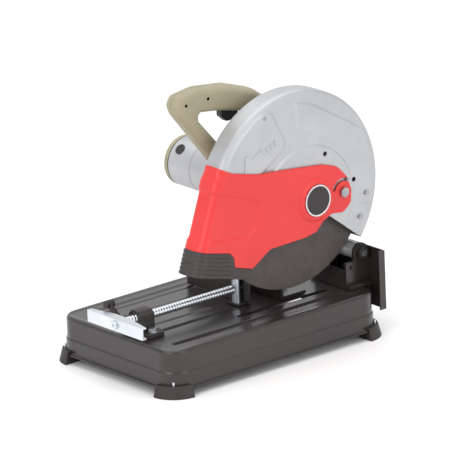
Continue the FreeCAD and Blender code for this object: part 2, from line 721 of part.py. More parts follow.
def make_wheel_guard():
    """A channel turned about the spindle over most of the wheel."""
    body = new_body("wheel_guard")
    section = sketch_on(body, "XZ_Plane")
    polygon(section, [
        ("guard_left", 0), ("guard_left + guard_wall", 0),
        ("guard_left + guard_wall", "guard_radius - guard_wall"),
        ("guard_right - guard_wall", "guard_radius - guard_wall"),
        ("guard_right - guard_wall", 0), ("guard_right", 0),
        ("guard_right", "guard_radius"), ("guard_left", "guard_radius"),
    ])
    turned = body.newObject("PartDesign::Revolution", "Channel")
    turned.Profile = section
    turned.ReferenceAxis = (section, ["H_Axis"])
    turned.Angle = 238
    turned.Midplane = True
    rim = SIZES["guard_radius"]
    round_edges(body, 5, lambda edge: abs(getattr(edge.Curve, "Radius", 0) - rim) < 0.01)
    for left in ("guard_left", "guard_right - guard_wall"):
        hub = sketch_on(body, "YZ_Plane", left)
        circle(hub, 0, 0, 62)
        pad(body, hub, "guard_wall")
    bearing_hole = sketch_on(body, "YZ_Plane", "guard_left - 1")
    circle(bearing_hole, 0, 0, 24)
    pocket(body, bearing_hole, 6)
    holes = sketch_on(body, "YZ_Plane", "guard_right - 5")
    for across, up, radius in GUARD_HOLES:
        circle(holes, across, up, radius)
    pocket(body, holes, 10)
    body.Placement = Placement(Vector(), Rotation(Vector(1, 0, 0), GUARD_TURN))
    bind(body, "Placement.Base.y", "wheel_y")
    bind(body, "Placement.Base.z", "wheel_z")


GUARD_TURN = -9


def guard_spot(y, z):
    """A place on the guard in its own turned coordinates."""
    angle = math.radians(-GUARD_TURN)
    across, up = y - SIZES["wheel_y"], z - SIZES["wheel_z"]
    return across * math.cos(angle) - up * math.sin(angle), across * math.sin(angle) + up * math.cos(angle)


STOP_ANGLE = math.radians(68)
STOP_Y = SIZES["shield_pivot_y"] + 23 * math.cos(STOP_ANGLE)
STOP_Z = SIZES["shield_pivot_z"] + 23 * math.sin(STOP_ANGLE)
GUARD_SCREWS = [(250, 250), (234, 209), (20, 440)]
GUARD_HOLES = [
    (*guard_spot(156, 344), 4), (*guard_spot(222, 281), 4),
    (*guard_spot(SIZES["shield_pivot_y"], SIZES["shield_pivot_z"]), 6),
    (*guard_spot(STOP_Y, STOP_Z), 2.8),
    *((*guard_spot(y, z), 2.5) for y, z in GUARD_SCREWS),
]


def make_guard_hardware():
    pivot = ("shield_pivot_y", "shield_pivot_z")
    stem = rod("X", ("guard_right - guard_wall - 3", *pivot), 6, 15)
    spacer = rod("X", ("guard_right", *pivot), 12, 2.6)
    head = hexagon("X", ("shield_right + 0.4", *pivot), 17, 5)
    part("shield_pivot_bolt", fuse(stem, spacer, head))
    part("shield_stop_pin", rod("X", ("guard_right - guard_wall", STOP_Y, STOP_Z), 2.8, 13))


# ---- red safety guard -------------------------------------------------------

SHIELD_OUTLINE = [
    (-87, 372), (-138, 230), (-72, 214), (-64, 203), (-63, 186), (-23, 174), (19, 200), (101, 202),
    (127, 207), (142, 222), (164, 232), (191, 228), (209, 243), (211, 266), (202, 292), (180, 316),
    (146, 327), (45, 339), (0, 343), (-57, 357),
]
LIP_OUTLINE = [
    (-138, 229.7), (-153, 187), (-34, 157), (-23.3, 173.7), (-63.3, 185.7), (-64.3, 202.7), (-72.2, 213.7),
]
INNER_END = -25
SHELL_FOOT = 100


def slanted_block(left, right, front, back, radius, slope):
    """A block with rounded upright corners that leans back as it rises."""
    plan = doc.addObject("Sketcher::SketchObject", "Plan")
    rounded_rectangle(plan, left, right, front, back, radius)
    plan.Placement.Base.z = SHELL_FOOT
    block = doc.addObject("Part::Extrusion", "Slanted")
    block.Base = plan
    block.DirMode = "Custom"
    block.Dir = Vector(0, slope, 1)
    block.LengthFwd = 340
    block.Solid = True
    return block


def open_shell(outline, radius):
    """A channel around the wheel: two cheeks joined by a rounded front wall."""
    wall = SIZES["shield_wall"]
    (top_y, top_z), (foot_y, foot_z) = outline[:2]
    slope = (top_y - foot_y) / (top_z - foot_z)
    front = foot_y + slope * (SHELL_FOOT - foot_z)
    outer = slanted_block("shield_left", "shield_right", front, 280, radius, slope)
    inner = slanted_block(
        "shield_left + shield_wall", "shield_right - shield_wall", front + wall, 320, radius - wall, slope,
    )
    side = block_body(None, "YZ_Plane", "shield_left - 1", outline, "shield_right - shield_left + 2")
    inner_cheek = box(("shield_left - 2", "shield_right - 25"), (INNER_END, 300), (100, 420))
    return cut(common(side, cut(outer, inner)), inner_cheek)


def ring_sector(spot, outer, inner, first, last, length):
    """Part of a ring about an axis along X, between two angles measured from Y towards Z."""
    sectors = []
    for radius, reach in ((outer, length), (inner, length)):
        sector = doc.addObject("Part::Cylinder", "Sector")
        sector.Radius = radius
        sector.Height = reach
        sector.Angle = last - first if radius == outer else 360
        place(sector, spot, TURN_TO["X"] * Rotation(Vector(0, 0, 1), first + 90))
        sectors.append(sector)
    return cut(*sectors)


def make_safety_guard():
    shell = open_shell(SHIELD_OUTLINE, 18)
    boss = rod("X", ("shield_right - 1", "boss_y", "boss_z"), 40, 3)
    rise = cone("X", ("shield_right + 2", "boss_y", "boss_z"), 40, 38, 2)
    pivot = ("shield_right - 10", "shield_pivot_y", "shield_pivot_z")
    bore = rod("X", pivot, 6.06, 30)
    slot = ring_sector(pivot, 26.5, 19.5, 58, 160, 30)
    part("safety_guard", cut(fuse(shell, boss, rise), bore, slot))


def make_rubber_lip():
    part("rubber_lip", open_shell(LIP_OUTLINE, 18))


def make_badge():
    spot = ("shield_right + 4", "boss_y", "boss_z")
    part("badge_disc", rod("X", spot, 26, 1.5))
    part("badge_ring", tube("X", spot, 29, 26, 2.2))


# ---- motor ------------------------------------------------------------------

def on_motor(left, radius, length):
    return rod("X", (left, "motor_y", "motor_z"), radius, length)


def radial(start, radius, length, middle, side):
    """A rod that points away from the motor's axis, forwards and up or back and down."""
    thing = doc.addObject("Part::Cylinder", "Radial")
    bind(thing, "Radius", radius)
    bind(thing, "Height", length)
    turn = Rotation(Vector(0, 0, 1), Vector(0, -side, side))
    offset = f"{side} * {start} / sqrt(2)"
    place(thing, (middle, f"motor_y - {offset}", f"motor_z + {offset}"), turn)
    return thing


BRUSH_MIDDLE = -128


def make_motor():
    length = "casting_left - motor_left"
    start = ("motor_left", "motor_y", "motor_z")
    shell = tube("X", start, "motor_radius", "motor_radius - motor_wall", length)
    bridge = tube("X", ("motor_left + 4", "motor_y", "motor_z"), "motor_radius - 2", 11, 8)
    vents = [
        rod("X", (-152, f"motor_y + 28 * cos({angle})", f"motor_z + 28 * sin({angle})"), 7, 20)
        for angle in (0, 90, 180, 270)
    ]
    ports = [radial(15, 9, 50, BRUSH_MIDDLE, side) for side in (1, -1)]
    part("motor_housing", cut(fuse(shell, bridge), *vents, *ports))
    part("brush_holders", group(*(
        cut(radial(17, 8.9, 25, BRUSH_MIDDLE, side), radial(10, 4.5, 60, BRUSH_MIDDLE, side))
        for side in (1, -1)
    )))
    part("carbon_brushes", group(*(radial(13.4, 4.4, 18, BRUSH_MIDDLE, side) for side in (1, -1))))
    part("brush_caps", group(*(
        fuse(radial(42.2, 8.9, 4, BRUSH_MIDDLE, side), radial(46, 10, 1.6, BRUSH_MIDDLE, side))
        for side in (1, -1)
    )))
    part("stator", tube("X", (-92, "motor_y", "motor_z"), "motor_radius - motor_wall", 27, 70))
    part("field_coils", group(*(tube("X", (left, "motor_y", "motor_z"), 40, 29, 8) for left in (-100, -22))))
    part("armature_core", tube("X", (-92, "motor_y", "motor_z"), 25.5, 5, 70))
    part("armature_windings", group(
        cut(cone("X", (-102, "motor_y", "motor_z"), 14, 23, 10), on_motor(-103, 5, 12)),
        cut(cone("X", (-22, "motor_y", "motor_z"), 23, 14, 10), on_motor(-23, 5, 12)),
    ))
    part("commutator", tube("X", (-137, "motor_y", "motor_z"), 13, 5, 20))


def make_end_cap():
    body = new_body("motor_end_cap")
    disc = sketch_on(body, "YZ_Plane", "cap_left")
    circle(disc, "motor_y", "motor_z", "motor_radius")
    pad(body, disc, "motor_left - cap_left")
    round_edges(body, 4, lambda edge: abs(edge.BoundBox.XMax - SIZES["cap_left"]) < 0.01)
    inside = sketch_on(body, "YZ_Plane", "cap_left + 4")
    circle(inside, "motor_y", "motor_z", "motor_radius - 4")
    pocket(body, inside, 20)
    holes = sketch_on(body, "YZ_Plane", "cap_left - 5")
    spots = [(SIZES["motor_y"] + a * 24, SIZES["motor_z"] + b * 24) for a in (-1, 1) for b in (-1, 1)]
    for across, up in spots:
        circle(holes, across, up, 2.5)
    pocket(body, holes, 20)
    cap_screws = [
        fuse(rod("X", ("cap_left - 2", y, z), 4.5, 2), rod("X", ("cap_left", y, z), 2.5, 17))
        for y, z in spots
    ]
    guard_screws = []
    for y, z in GUARD_SCREWS:
        shank = rod("X", ("guard_right - guard_wall - 2", y, z), 2.5, 6)
        guard_screws.append(fuse(shank, rod("X", ("guard_right", y, z), 4.5, 2.5)))
    part("housing_screws", group(*cap_screws, *guard_screws))


def make_fan():
    body = new_body("cooling_fan")
    disc = sketch_on(body, "YZ_Plane", 12)
    circle(disc, 0, 0, 40)
    circle(disc, 0, 0, 5)
    pad(body, disc, 2)
    hub = sketch_on(body, "YZ_Plane", 2)
    circle(hub, 0, 0, 11)
    circle(hub, 0, 0, 5)
    pad(body, hub, 11)
    blade = sketch_on(body, "YZ_Plane", 3)
    polygon(blade, [(10, -1), (39, 5), (39, 7), (10, 1)])
    swept = pad(body, blade, 10)
    doc.recompute()
    ring = body.newObject("PartDesign::PolarPattern", "Blades")
    ring.Originals = [swept]
    axis = next(f for f in body.Origin.OriginFeatures if f.Role == "X_Axis")
    ring.Axis = (axis, [""])
    ring.Angle = 360
    ring.Occurrences = 9
    body.Tip = ring
    bind(body, "Placement.Base.y", "motor_y")
    bind(body, "Placement.Base.z", "motor_z")


# ---- handle -----------------------------------------------------------------

HANDLE_OUTLINE = [
    (-119, 474), (-108, 492), (-62, 498), (4, 490), (62, 470), (113, 434),
    (124, 404), (116, "housing_top"), (-30, "housing_top"), (-112, 456),
]
FINGER_GAP = [
    (-64, 453), (-66, 440), (-12, 376), (4, 366), (48, 368), (64, 386), (58, 420), (44, 432), (-20, 447),
]
HANDLE_SCREWS = [(-96, 474), (-46, 476), (78, 448), (100, 374), (-30, 378)]
LOCK_SPOT = (52, 454)
GLAND_HEIGHT = 384


def make_handle():
    halves = {"handle_shell_left": ("handle_left", "handle_split"),
              "handle_shell_right": ("handle_split", "handle_right")}
    for label, (left, right) in halves.items():
        body = block_body(label, "YZ_Plane", left, HANDLE_OUTLINE, f"{right} - {left}")
        corners = [(known(across), known(up)) for across, up in HANDLE_OUTLINE]
        round_edges(body, 9, corner_test(0, corners[:2] + corners[9:]))
        round_edges(body, 30, corner_test(0, corners[2:6]))
        gap = sketch_on(body, "YZ_Plane", f"{left} - 1")
        polygon(gap, FINGER_GAP)
        pocket(body, gap, f"{right} - {left} + 2")
        room = sketch_on(body, "XZ_Plane", -36)
        polygon(room, [(2, 456), (28, 456), (28, 475), (2, 475)])
        pocket(body, room, 54)
        slot = sketch_on(body, "XZ_Plane", -37)
        polygon(slot, [(7, 425), (23, 425), (23, 457), (7, 457)])
        pocket(body, slot, 47)
        holes = sketch_on(body, "YZ_Plane", -20)
        for across, up in HANDLE_SCREWS:
            circle(holes, across, up, 3)
        pocket(body, holes, 80)
        if label.endswith("left"):
            button = sketch_on(body, "YZ_Plane", -20)
            circle(button, *LOCK_SPOT, 6.1)
            pocket(body, button, 30)
        seat = sketch_on(body, "XZ_Plane", -140)
        circle(seat, "handle_split", GLAND_HEIGHT, 9)
        pocket(body, seat, 32)
    part("handle_screws", group(*(rod("X", (6, y, z), 3, 28) for y, z in HANDLE_SCREWS)))


def make_switch():
    part("switch_body", box((3, 27), (-16, 34), (457, 474)))
    trigger = block_body("trigger", "YZ_Plane", 8, [
        (-8, 448), (-8, 432), (4, 421), (16, 421), (30, 430), (35, 448),
    ], 14)
    round_edges(trigger, 4, corner_test(0, [(4, 421), (16, 421), (-8, 432), (30, 430)]))
    part("lock_button", rod("X", ("handle_left - 4", *LOCK_SPOT), 6, 12))
    part("cord_gland", tube("Y", ("handle_split", 108, GLAND_HEIGHT), 9, 4, 32))


# ---- build, check and write -------------------------------------------------

make_base_pan()
make_feet()
make_fence()
make_vise_bracket()
make_table_bolts()
make_half_nut_lever()
make_vise_screw()
make_crank_handle()
make_vise_jaw()
make_pivot_bracket()
make_pivot_pin()
make_return_spring()
make_spark_plate()
make_head_casting()
make_gearbox_cover()
make_gears()
make_spindle()
make_spindle_lock()
make_wheel_guard()
make_guard_hardware()
make_safety_guard()
make_rubber_lip()
make_badge()
make_motor()
make_end_cap()
make_fan()
make_handle()
make_switch()
doc.recompute()

for thing in doc.Objects:
    if "Invalid" in thing.State or "Error" in thing.State:
        owner = [parent.Label for parent in thing.InList]
        raise SystemExit(f"{thing.Name} in {owner} failed: {thing.State}")

os.makedirs("parts", exist_ok=True)
for thing in parts:
    if thing.Shape.isNull() or not thing.Shape.isValid():
        raise SystemExit(f"{thing.Label} has no valid shape")
    for removal in getattr(thing, "Group", []):
        if removal.TypeId == "PartDesign::Pocket":
            before, after = removal.BaseFeature.Shape.Volume, removal.Shape.Volume
            if before - after < 1:
                raise SystemExit(f"{thing.Label}: {removal.Name} removes nothing")
    thing.Shape.exportStep(f"parts/{thing.Label}.step")
    print(thing.Label, len(thing.Shape.Solids), round(thing.Shape.Volume / 1000, 1), "cm3")
print(len(parts), "parts")
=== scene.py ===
# Abrasive chop saw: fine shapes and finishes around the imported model. Metres, X right, Y back, Z up.
import json
import math

import bmesh
import bpy
import numpy as np
from mathutils import Matrix, Vector

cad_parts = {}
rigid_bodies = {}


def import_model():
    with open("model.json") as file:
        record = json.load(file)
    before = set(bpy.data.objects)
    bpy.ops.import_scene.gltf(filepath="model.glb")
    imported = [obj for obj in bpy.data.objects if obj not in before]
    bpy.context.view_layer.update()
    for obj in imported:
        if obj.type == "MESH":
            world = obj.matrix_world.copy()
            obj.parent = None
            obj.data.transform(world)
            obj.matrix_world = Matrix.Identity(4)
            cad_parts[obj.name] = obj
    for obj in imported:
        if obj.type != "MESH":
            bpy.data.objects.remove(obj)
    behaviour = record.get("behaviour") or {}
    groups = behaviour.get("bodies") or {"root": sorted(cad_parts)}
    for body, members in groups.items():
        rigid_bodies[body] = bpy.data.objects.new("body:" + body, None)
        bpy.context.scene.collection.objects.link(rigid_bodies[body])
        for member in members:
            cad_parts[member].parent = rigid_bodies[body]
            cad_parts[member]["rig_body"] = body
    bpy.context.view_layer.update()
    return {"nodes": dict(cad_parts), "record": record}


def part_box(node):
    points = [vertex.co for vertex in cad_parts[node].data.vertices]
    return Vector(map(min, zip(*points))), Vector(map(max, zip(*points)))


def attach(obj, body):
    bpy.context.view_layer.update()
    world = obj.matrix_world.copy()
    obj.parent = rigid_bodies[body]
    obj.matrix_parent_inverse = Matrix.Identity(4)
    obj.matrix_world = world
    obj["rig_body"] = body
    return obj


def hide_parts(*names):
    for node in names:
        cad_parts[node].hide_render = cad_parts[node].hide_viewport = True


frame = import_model()
milli = 0.001


# Small helpers

def smoothStep(value, low, high):  # 0 below low, 1 above high, and a soft S between
    t = np.clip((value - low) / (high - low), 0, 1)
    return t * t * (3 - 2 * t)


def gridFaces(rows, columns, around=False):  # quads between neighbouring rows, joined up where it goes around
    row = np.arange(rows - 1)[:, None]
    column = np.arange(columns if around else columns - 1)[None, :]
    beside = (column + 1) % columns
    corners = [row * columns + column, row * columns + beside,
               (row + 1) * columns + beside, (row + 1) * columns + column]
    return np.stack(corners, -1).reshape(-1, 4)


def weld(points, faces, others=()):  # one vertex where several lie in the same place
    key = np.round(points * 2e6).astype(np.int64)
    first, back = np.unique(key, axis=0, return_index=True, return_inverse=True)[1:]
    return points[first], back.reshape(-1)[faces], [other[first] for other in others]


def addPiece(name, points, faces, sharpAngle=40):
    faces = np.asarray(faces)
    pinched = (faces == np.roll(faces, 1, axis=1)).any(1)
    corners = faces[~pinched].tolist() + [list(dict.fromkeys(f)) for f in faces[pinched].tolist()]
    mesh = bpy.data.meshes.new(name)
    mesh.from_pydata(points.tolist(), [], [c for c in corners if len(c) > 2])
    mesh.shade_smooth()
    mesh.set_sharp_from_angle(angle=math.radians(sharpAngle))
    piece = bpy.data.objects.new(name, mesh)
    bpy.context.scene.collection.objects.link(piece)
    return piece


def thicken(outer, inner, faces):  # an outer skin, the same skin inside it, and a rim along every open edge
    count = len(outer)
    edges = np.concatenate([faces[:, [k, (k + 1) % 4]] for k in range(4)])
    edges = edges[edges[:, 0] != edges[:, 1]]
    back, number = np.unique(np.sort(edges, 1), axis=0, return_inverse=True, return_counts=True)[1:]
    rim = edges[number[back.reshape(-1)] == 1]
    walls = np.stack([rim[:, 1], rim[:, 0], rim[:, 0] + count, rim[:, 1] + count], 1)
    return np.vstack([outer, inner]), np.vstack([faces, faces[:, ::-1] + count, walls])


def settle(piece, body, nodes, finish):  # the piece's body, the CAD nodes it stands for, and its finish
    piece.data.materials.clear()
    piece.data.materials.append(finishes[finish])
    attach(piece, body)
    if nodes:
        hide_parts(*nodes)
    return piece


def turned(name, profile, centre, axis="X", steps=160, sharpAngle=35):
    # a closed profile of (along, radius) pairs turned about an axis: across = radius cos, up = radius sin
    along, radius = np.array(profile, float).T
    angle = np.linspace(0, 2 * np.pi, steps, endpoint=False)[:, None]
    first, second = radius * np.cos(angle), radius * np.sin(angle)
    reach = np.broadcast_to(along, first.shape)
    columns = {"X": (reach, first, second), "Y": (second, reach, first), "Z": (first, second, reach)}[axis]
    points = np.stack(columns, -1).reshape(-1, 3) + np.array(centre)
    rows = gridFaces(steps + 1, len(along), around=True) % (steps * len(along))
    points, faces, _ = weld(points, rows)
    piece = addPiece(name, points, faces, sharpAngle)
    tidyNormals(piece)
    return piece


def tidyNormals(piece):
    shape = bmesh.new()
    shape.from_mesh(piece.data)
    bmesh.ops.recalc_face_normals(shape, faces=shape.faces)
    shape.to_mesh(piece.data)
    shape.free()


def rounded(points, radii, spacing):
    # a closed outline whose corners are arcs that touch both sides, with points about spacing apart
    points = np.asarray(points, float)
    radii = np.broadcast_to(np.asarray(radii, float), len(points))
    bends = []
    for k, corner in enumerate(points):
        before, after = points[k - 1] - corner, points[(k + 1) % len(points)] - corner
        before, after = before / np.linalg.norm(before), after / np.linalg.norm(after)
        half = 0.5 * math.acos(np.clip(before @ after, -1, 1))
        if radii[k] < 1e-9 or half > 1.5:
            bends.append(corner[None])
            continue
        reach = radii[k] / math.tan(half)
        middle = corner + (before + after) / np.linalg.norm(before + after) * radii[k] / math.sin(half)
        start, end = corner + before * reach - middle, corner + after * reach - middle
        sweep = math.atan2(start[0] * end[1] - start[1] * end[0], start @ end)
        t = np.linspace(0, sweep, max(3, int(abs(sweep) * radii[k] / spacing) + 2))[:, None]
        side = np.array([-start[1], start[0]])
        bends.append(middle + start * np.cos(t) + side * np.sin(t))
    loop = []
    for k, bend in enumerate(bends):
        following = bends[(k + 1) % len(bends)][0]
        steps = max(1, int(round(np.linalg.norm(following - bend[-1]) / spacing)))
        t = np.linspace(0, 1, steps, endpoint=False)[1:, None]
        loop += [bend, bend[-1] + (following - bend[-1]) * t]
    return np.vstack(loop)


def plate(name, loop, x, height, edge, sharpAngle=50):
    # a raised shape on a face that looks along X: the outline, drawn in by a quarter circle as it rises
    ahead, behind = np.roll(loop, -1, 0), np.roll(loop, 1, 0)
    along = ahead - behind
    along /= np.linalg.norm(along, axis=1)[:, None]
    outward = np.stack([along[:, 1], -along[:, 0]], 1)
    area = np.sum(loop[:, 0] * ahead[:, 1] - ahead[:, 0] * loop[:, 1])
    outward *= np.sign(area)
    turn = np.linspace(0, np.pi / 2, 5)
    insets = np.concatenate([[0], edge * (1 - np.cos(turn))])
    rises = np.concatenate([[-0.5 * milli], height - edge + edge * np.sin(turn)])
    rings = [np.column_stack([np.full(len(loop), x + rise), loop - outward * inset])
             for inset, rise in zip(insets, rises)]
    top = rings[-1]
    rings.append(np.broadcast_to(top.mean(0), top.shape))
    points = np.vstack(rings)
    points, faces, _ = weld(points, gridFaces(len(rings), len(loop), around=True))
    piece = addPiece(name, points, faces, sharpAngle)
    tidyNormals(piece)
    return piece


def softCopy(node, name, width, finish, segments=3, angle=32, sharpAngle=35):
    # the CAD node's own shape with its edges broken, as pressing, casting or machining leaves them
    source = frame["nodes"][node]
    shape = bmesh.new()
    shape.from_mesh(source.data)
    bmesh.ops.remove_doubles(shape, verts=shape.verts, dist=2e-6)
    bmesh.ops.dissolve_limit(shape, angle_limit=math.radians(0.8), verts=shape.verts, edges=shape.edges)
    mesh = bpy.data.meshes.new(name)
    shape.to_mesh(mesh)
    shape.free()
    if "custom_normal" in mesh.attributes:
        mesh.attributes.remove(mesh.attributes["custom_normal"])
    mesh.shade_smooth()
    mesh.set_sharp_from_angle(angle=math.radians(sharpAngle))
    piece = bpy.data.objects.new(name, mesh)
    bpy.context.scene.collection.objects.link(piece)
    if width:
        bevel = piece.modifiers.new("brokenEdges", "BEVEL")
        bevel.width = width
        bevel.segments = segments
        bevel.limit_method = "ANGLE"
        bevel.angle_limit = math.radians(angle)
        bevel.harden_normals = True
    return settle(piece, source["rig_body"], [node], finish)


# View, floor and light

view = {
    "place": (9.1194, -7.4430, 4.0701), "azimuth": 50.558, "elevation": 18.144, "roll": -2.245,
    "lens": 547.8, "shiftX": -0.0375, "shiftY": 0.0012,
}


def addCamera():
    azimuth, elevation, roll = (math.radians(view[key]) for key in ("azimuth", "elevation", "roll"))
    ahead = Vector((-math.sin(azimuth) * math.cos(elevation), math.cos(azimuth) * math.cos(elevation),
                    -math.sin(elevation)))
    right = Vector((math.cos(azimuth), math.sin(azimuth), 0))
    up = right.cross(ahead)
    right, up = right * math.cos(roll) + up * math.sin(roll), up * math.cos(roll) - right * math.sin(roll)
    data = bpy.data.cameras.new("camera")
    data.lens = view["lens"]
    data.sensor_width = 36
    data.shift_x, data.shift_y = view["shiftX"], view["shiftY"]
    data.clip_end = 200
    camera = bpy.data.objects.new("camera", data)
    turn = Matrix((right, up, -ahead)).transposed().to_4x4()
    camera.matrix_world = Matrix.Translation(view["place"]) @ turn
    bpy.context.scene.collection.objects.link(camera)
    bpy.context.scene.camera = camera


def addLight(name, place, target, size, power, tint=(1, 1, 1)):
    data = bpy.data.lights.new(name, "AREA")
    data.shape = "RECTANGLE"
    data.size, data.size_y = size
    data.energy = power
    data.color = tint
    lamp = bpy.data.objects.new(name, data)
    lamp.location = place
    lamp.rotation_euler = (Vector(target) - Vector(place)).to_track_quat("-Z", "Y").to_euler()
    bpy.context.scene.collection.objects.link(lamp)


studio = {
    "floorShade": (0.93, 0.93, 0.93), "worldShade": (1.0, 1.0, 1.0), "worldPower": 0.88,
    "top": {"place": (-0.3, 0.2, 2.6), "target": (0, 0, 0.2), "size": (3.0, 3.0), "power": 34},
    "key": {"place": (0.6, -2.6, 1.5), "target": (0, 0, 0.25), "size": (1.6, 1.4), "power": 22},
    "side": {"place": (2.8, 0.5, 1.1), "target": (0, 0, 0.25), "size": (1.2, 1.8), "power": 14},
}


def addStudio():
    mesh = bpy.data.meshes.new("floor")
    mesh.from_pydata([(-40, -40, 0), (40, -40, 0), (40, 40, 0), (-40, 40, 0)], [], [(0, 1, 2, 3)])
    floor = bpy.data.objects.new("floor", mesh)
    bpy.context.scene.collection.objects.link(floor)
    paper = bpy.data.materials.new("floorPaper")
    paper.use_nodes = True
    shader = paper.node_tree.nodes["Principled BSDF"]
    shader.inputs["Base Color"].default_value = (*studio["floorShade"], 1)
    shader.inputs["Roughness"].default_value = 0.9
    shader.inputs["Specular IOR Level"].default_value = 0.1
    mesh.materials.append(paper)
    world = bpy.data.worlds.new("studio")
    world.use_nodes = True
    sky = world.node_tree.nodes["Background"]
    sky.inputs["Color"].default_value = (*studio["worldShade"], 1)
    sky.inputs["Strength"].default_value = studio["worldPower"]
    bpy.context.scene.world = world
    for name in ("top", "key", "side"):
        lamp = studio[name]
        addLight(name, lamp["place"], lamp["target"], lamp["size"], lamp["power"])
    bpy.context.scene.view_settings.view_transform = "Standard"


# Finishes

def tint(red, green, blue):  # a screen colour, 0 to 255, as linear light
    shade = np.array([red, green, blue]) / 255
    return tuple(np.where(shade < 0.04045, shade / 12.92, ((shade + 0.055) / 1.055) ** 2.4).tolist())


finishLooks = {
    "enamel": {"shade": tint(33, 28, 27), "other": tint(41, 35, 33), "rough": (0.26, 0.36), "patch": 9,
               "grain": 1400, "bump": 0.00005, "coat": 0.35},
    "rubber": {"shade": tint(38, 34, 33), "other": tint(48, 43, 41), "rough": (0.50, 0.66), "patch": 14,
               "grain": 1800, "bump": 0.00006},
    "lipRubber": {"shade": tint(48, 43, 42), "other": tint(58, 52, 50), "rough": (0.42, 0.55), "patch": 16,
                  "grain": 1600, "bump": 0.00005},
    "zinc": {"shade": tint(228, 233, 237), "other": tint(212, 219, 226), "rough": (0.24, 0.34), "patch": 24,
             "grain": 700, "bump": 0.00002, "metal": 1.0},
    "steel": {"shade": tint(178, 178, 180), "other": tint(150, 151, 154), "rough": (0.28, 0.42), "patch": 40,
              "grain": 900, "bump": 0.00002, "metal": 1.0},
    "castAluminium": {"shade": tint(176, 178, 181), "other": tint(190, 191, 193), "rough": (0.36, 0.50),
                      "patch": 12, "grain": 900, "bump": 0.00012, "metal": 0.55},
    "redPlastic": {"shade": tint(222, 52, 50), "other": tint(214, 45, 45), "rough": (0.36, 0.46), "patch": 7,
                   "grain": 1500, "bump": 0.00003, "coat": 0.05},
    "khakiPlastic": {"shade": tint(160, 152, 127), "other": tint(150, 142, 118), "rough": (0.40, 0.52),
                     "patch": 10, "grain": 1300, "bump": 0.00005},
    "blackPlastic": {"shade": tint(30, 27, 27), "other": tint(40, 36, 35), "rough": (0.34, 0.48), "patch": 18,
                     "grain": 1500, "bump": 0.00004},
    "abrasive": {"shade": tint(76, 69, 67), "other": tint(68, 62, 60), "rough": (0.48, 0.58), "patch": 60,
                 "grain": 1300, "bump": 0.00012},
    "copper": {"shade": tint(184, 104, 62), "other": tint(150, 80, 46), "rough": (0.22, 0.40), "patch": 90,
               "grain": 1200, "bump": 0.0001, "metal": 1.0},
    "lamination": {"shade": tint(120, 122, 126), "other": tint(86, 88, 92), "rough": (0.35, 0.5), "patch": 60,
                   "grain": 1500, "bump": 0.0001, "metal": 1.0},
    "carbon": {"shade": tint(34, 34, 36), "other": tint(46, 46, 48), "rough": (0.4, 0.6), "patch": 80,
               "grain": 2000, "bump": 0.00005},
    "silverTrim": {"shade": tint(222, 222, 224), "other": tint(205, 205, 208), "rough": (0.12, 0.2),
                   "patch": 50, "grain": 900, "bump": 0.00001, "metal": 1.0},
    "castIron": {"shade": tint(36, 32, 31), "other": tint(50, 45, 43), "rough": (0.42, 0.6), "patch": 22,
                 "grain": 800, "bump": 0.0002},
}


def makeFinish(name, look):
    material = bpy.data.materials.new(name)
    material.use_nodes = True
    tree = material.node_tree
    shader = tree.nodes["Principled BSDF"]
    shader.inputs["Metallic"].default_value = look.get("metal", 0.0)
    shader.inputs["Coat Weight"].default_value = look.get("coat", 0.0)
    shader.inputs["Coat Roughness"].default_value = 0.18
    where = tree.nodes.new("ShaderNodeTexCoord")

    def noise(scale, detail, roughness):
        cloud = tree.nodes.new("ShaderNodeTexNoise")
        cloud.inputs["Scale"].default_value = scale
        cloud.inputs["Detail"].default_value = detail
        cloud.inputs["Roughness"].default_value = roughness
        tree.links.new(where.outputs["Object"], cloud.inputs["Vector"])
        return cloud.outputs["Fac"]

    patches, grain = noise(look["patch"], 5, 0.55), noise(look["grain"], 2, 0.6)
    spread = tree.nodes.new("ShaderNodeMapRange")
    spread.inputs["From Min"].default_value, spread.inputs["From Max"].default_value = 0.3, 0.7
    tree.links.new(patches, spread.inputs["Value"])
    blend = tree.nodes.new("ShaderNodeMix")
    blend.data_type = "RGBA"
    blend.inputs["A"].default_value = (*look["shade"], 1)
    blend.inputs["B"].default_value = (*look["other"], 1)
    tree.links.new(spread.outputs["Result"], blend.inputs["Factor"])
    tree.links.new(blend.outputs["Result"], shader.inputs["Base Color"])
    gloss = tree.nodes.new("ShaderNodeMapRange")
    gloss.inputs["From Min"].default_value, gloss.inputs["From Max"].default_value = 0.3, 0.7
    gloss.inputs["To Min"].default_value, gloss.inputs["To Max"].default_value = look["rough"]
    tree.links.new(patches, gloss.inputs["Value"])
    tree.links.new(gloss.outputs["Result"], shader.inputs["Roughness"])
    relief = tree.nodes.new("ShaderNodeBump")
    relief.inputs["Distance"].default_value = look["bump"]
    tree.links.new(grain, relief.inputs["Height"])
    tree.links.new(relief.outputs["Normal"], shader.inputs["Normal"])
    return material


addCamera()
addStudio()
finishes = {name: makeFinish(name, look) for name, look in finishLooks.items()}
print("view, studio and", len(finishes), "finishes are ready")


# Pressed steel base

baseLook = {
    "flangeOut": 8, "corner": 36, "topRound": 6, "sheet": 3, "toeRound": 4,
    "grooves": [(118, -209, 168, 11, 4.0), (46, -196, -20, 11, 3.6), (12, -194, -46, 8, 2.6),
                (-103, -202, 60, 7, 2.4), (-122, -206, 62, 9, 3.0), (-60, -196, 40, 7, 2.0)],
    "slot": (79, 91, -40, 165),
}


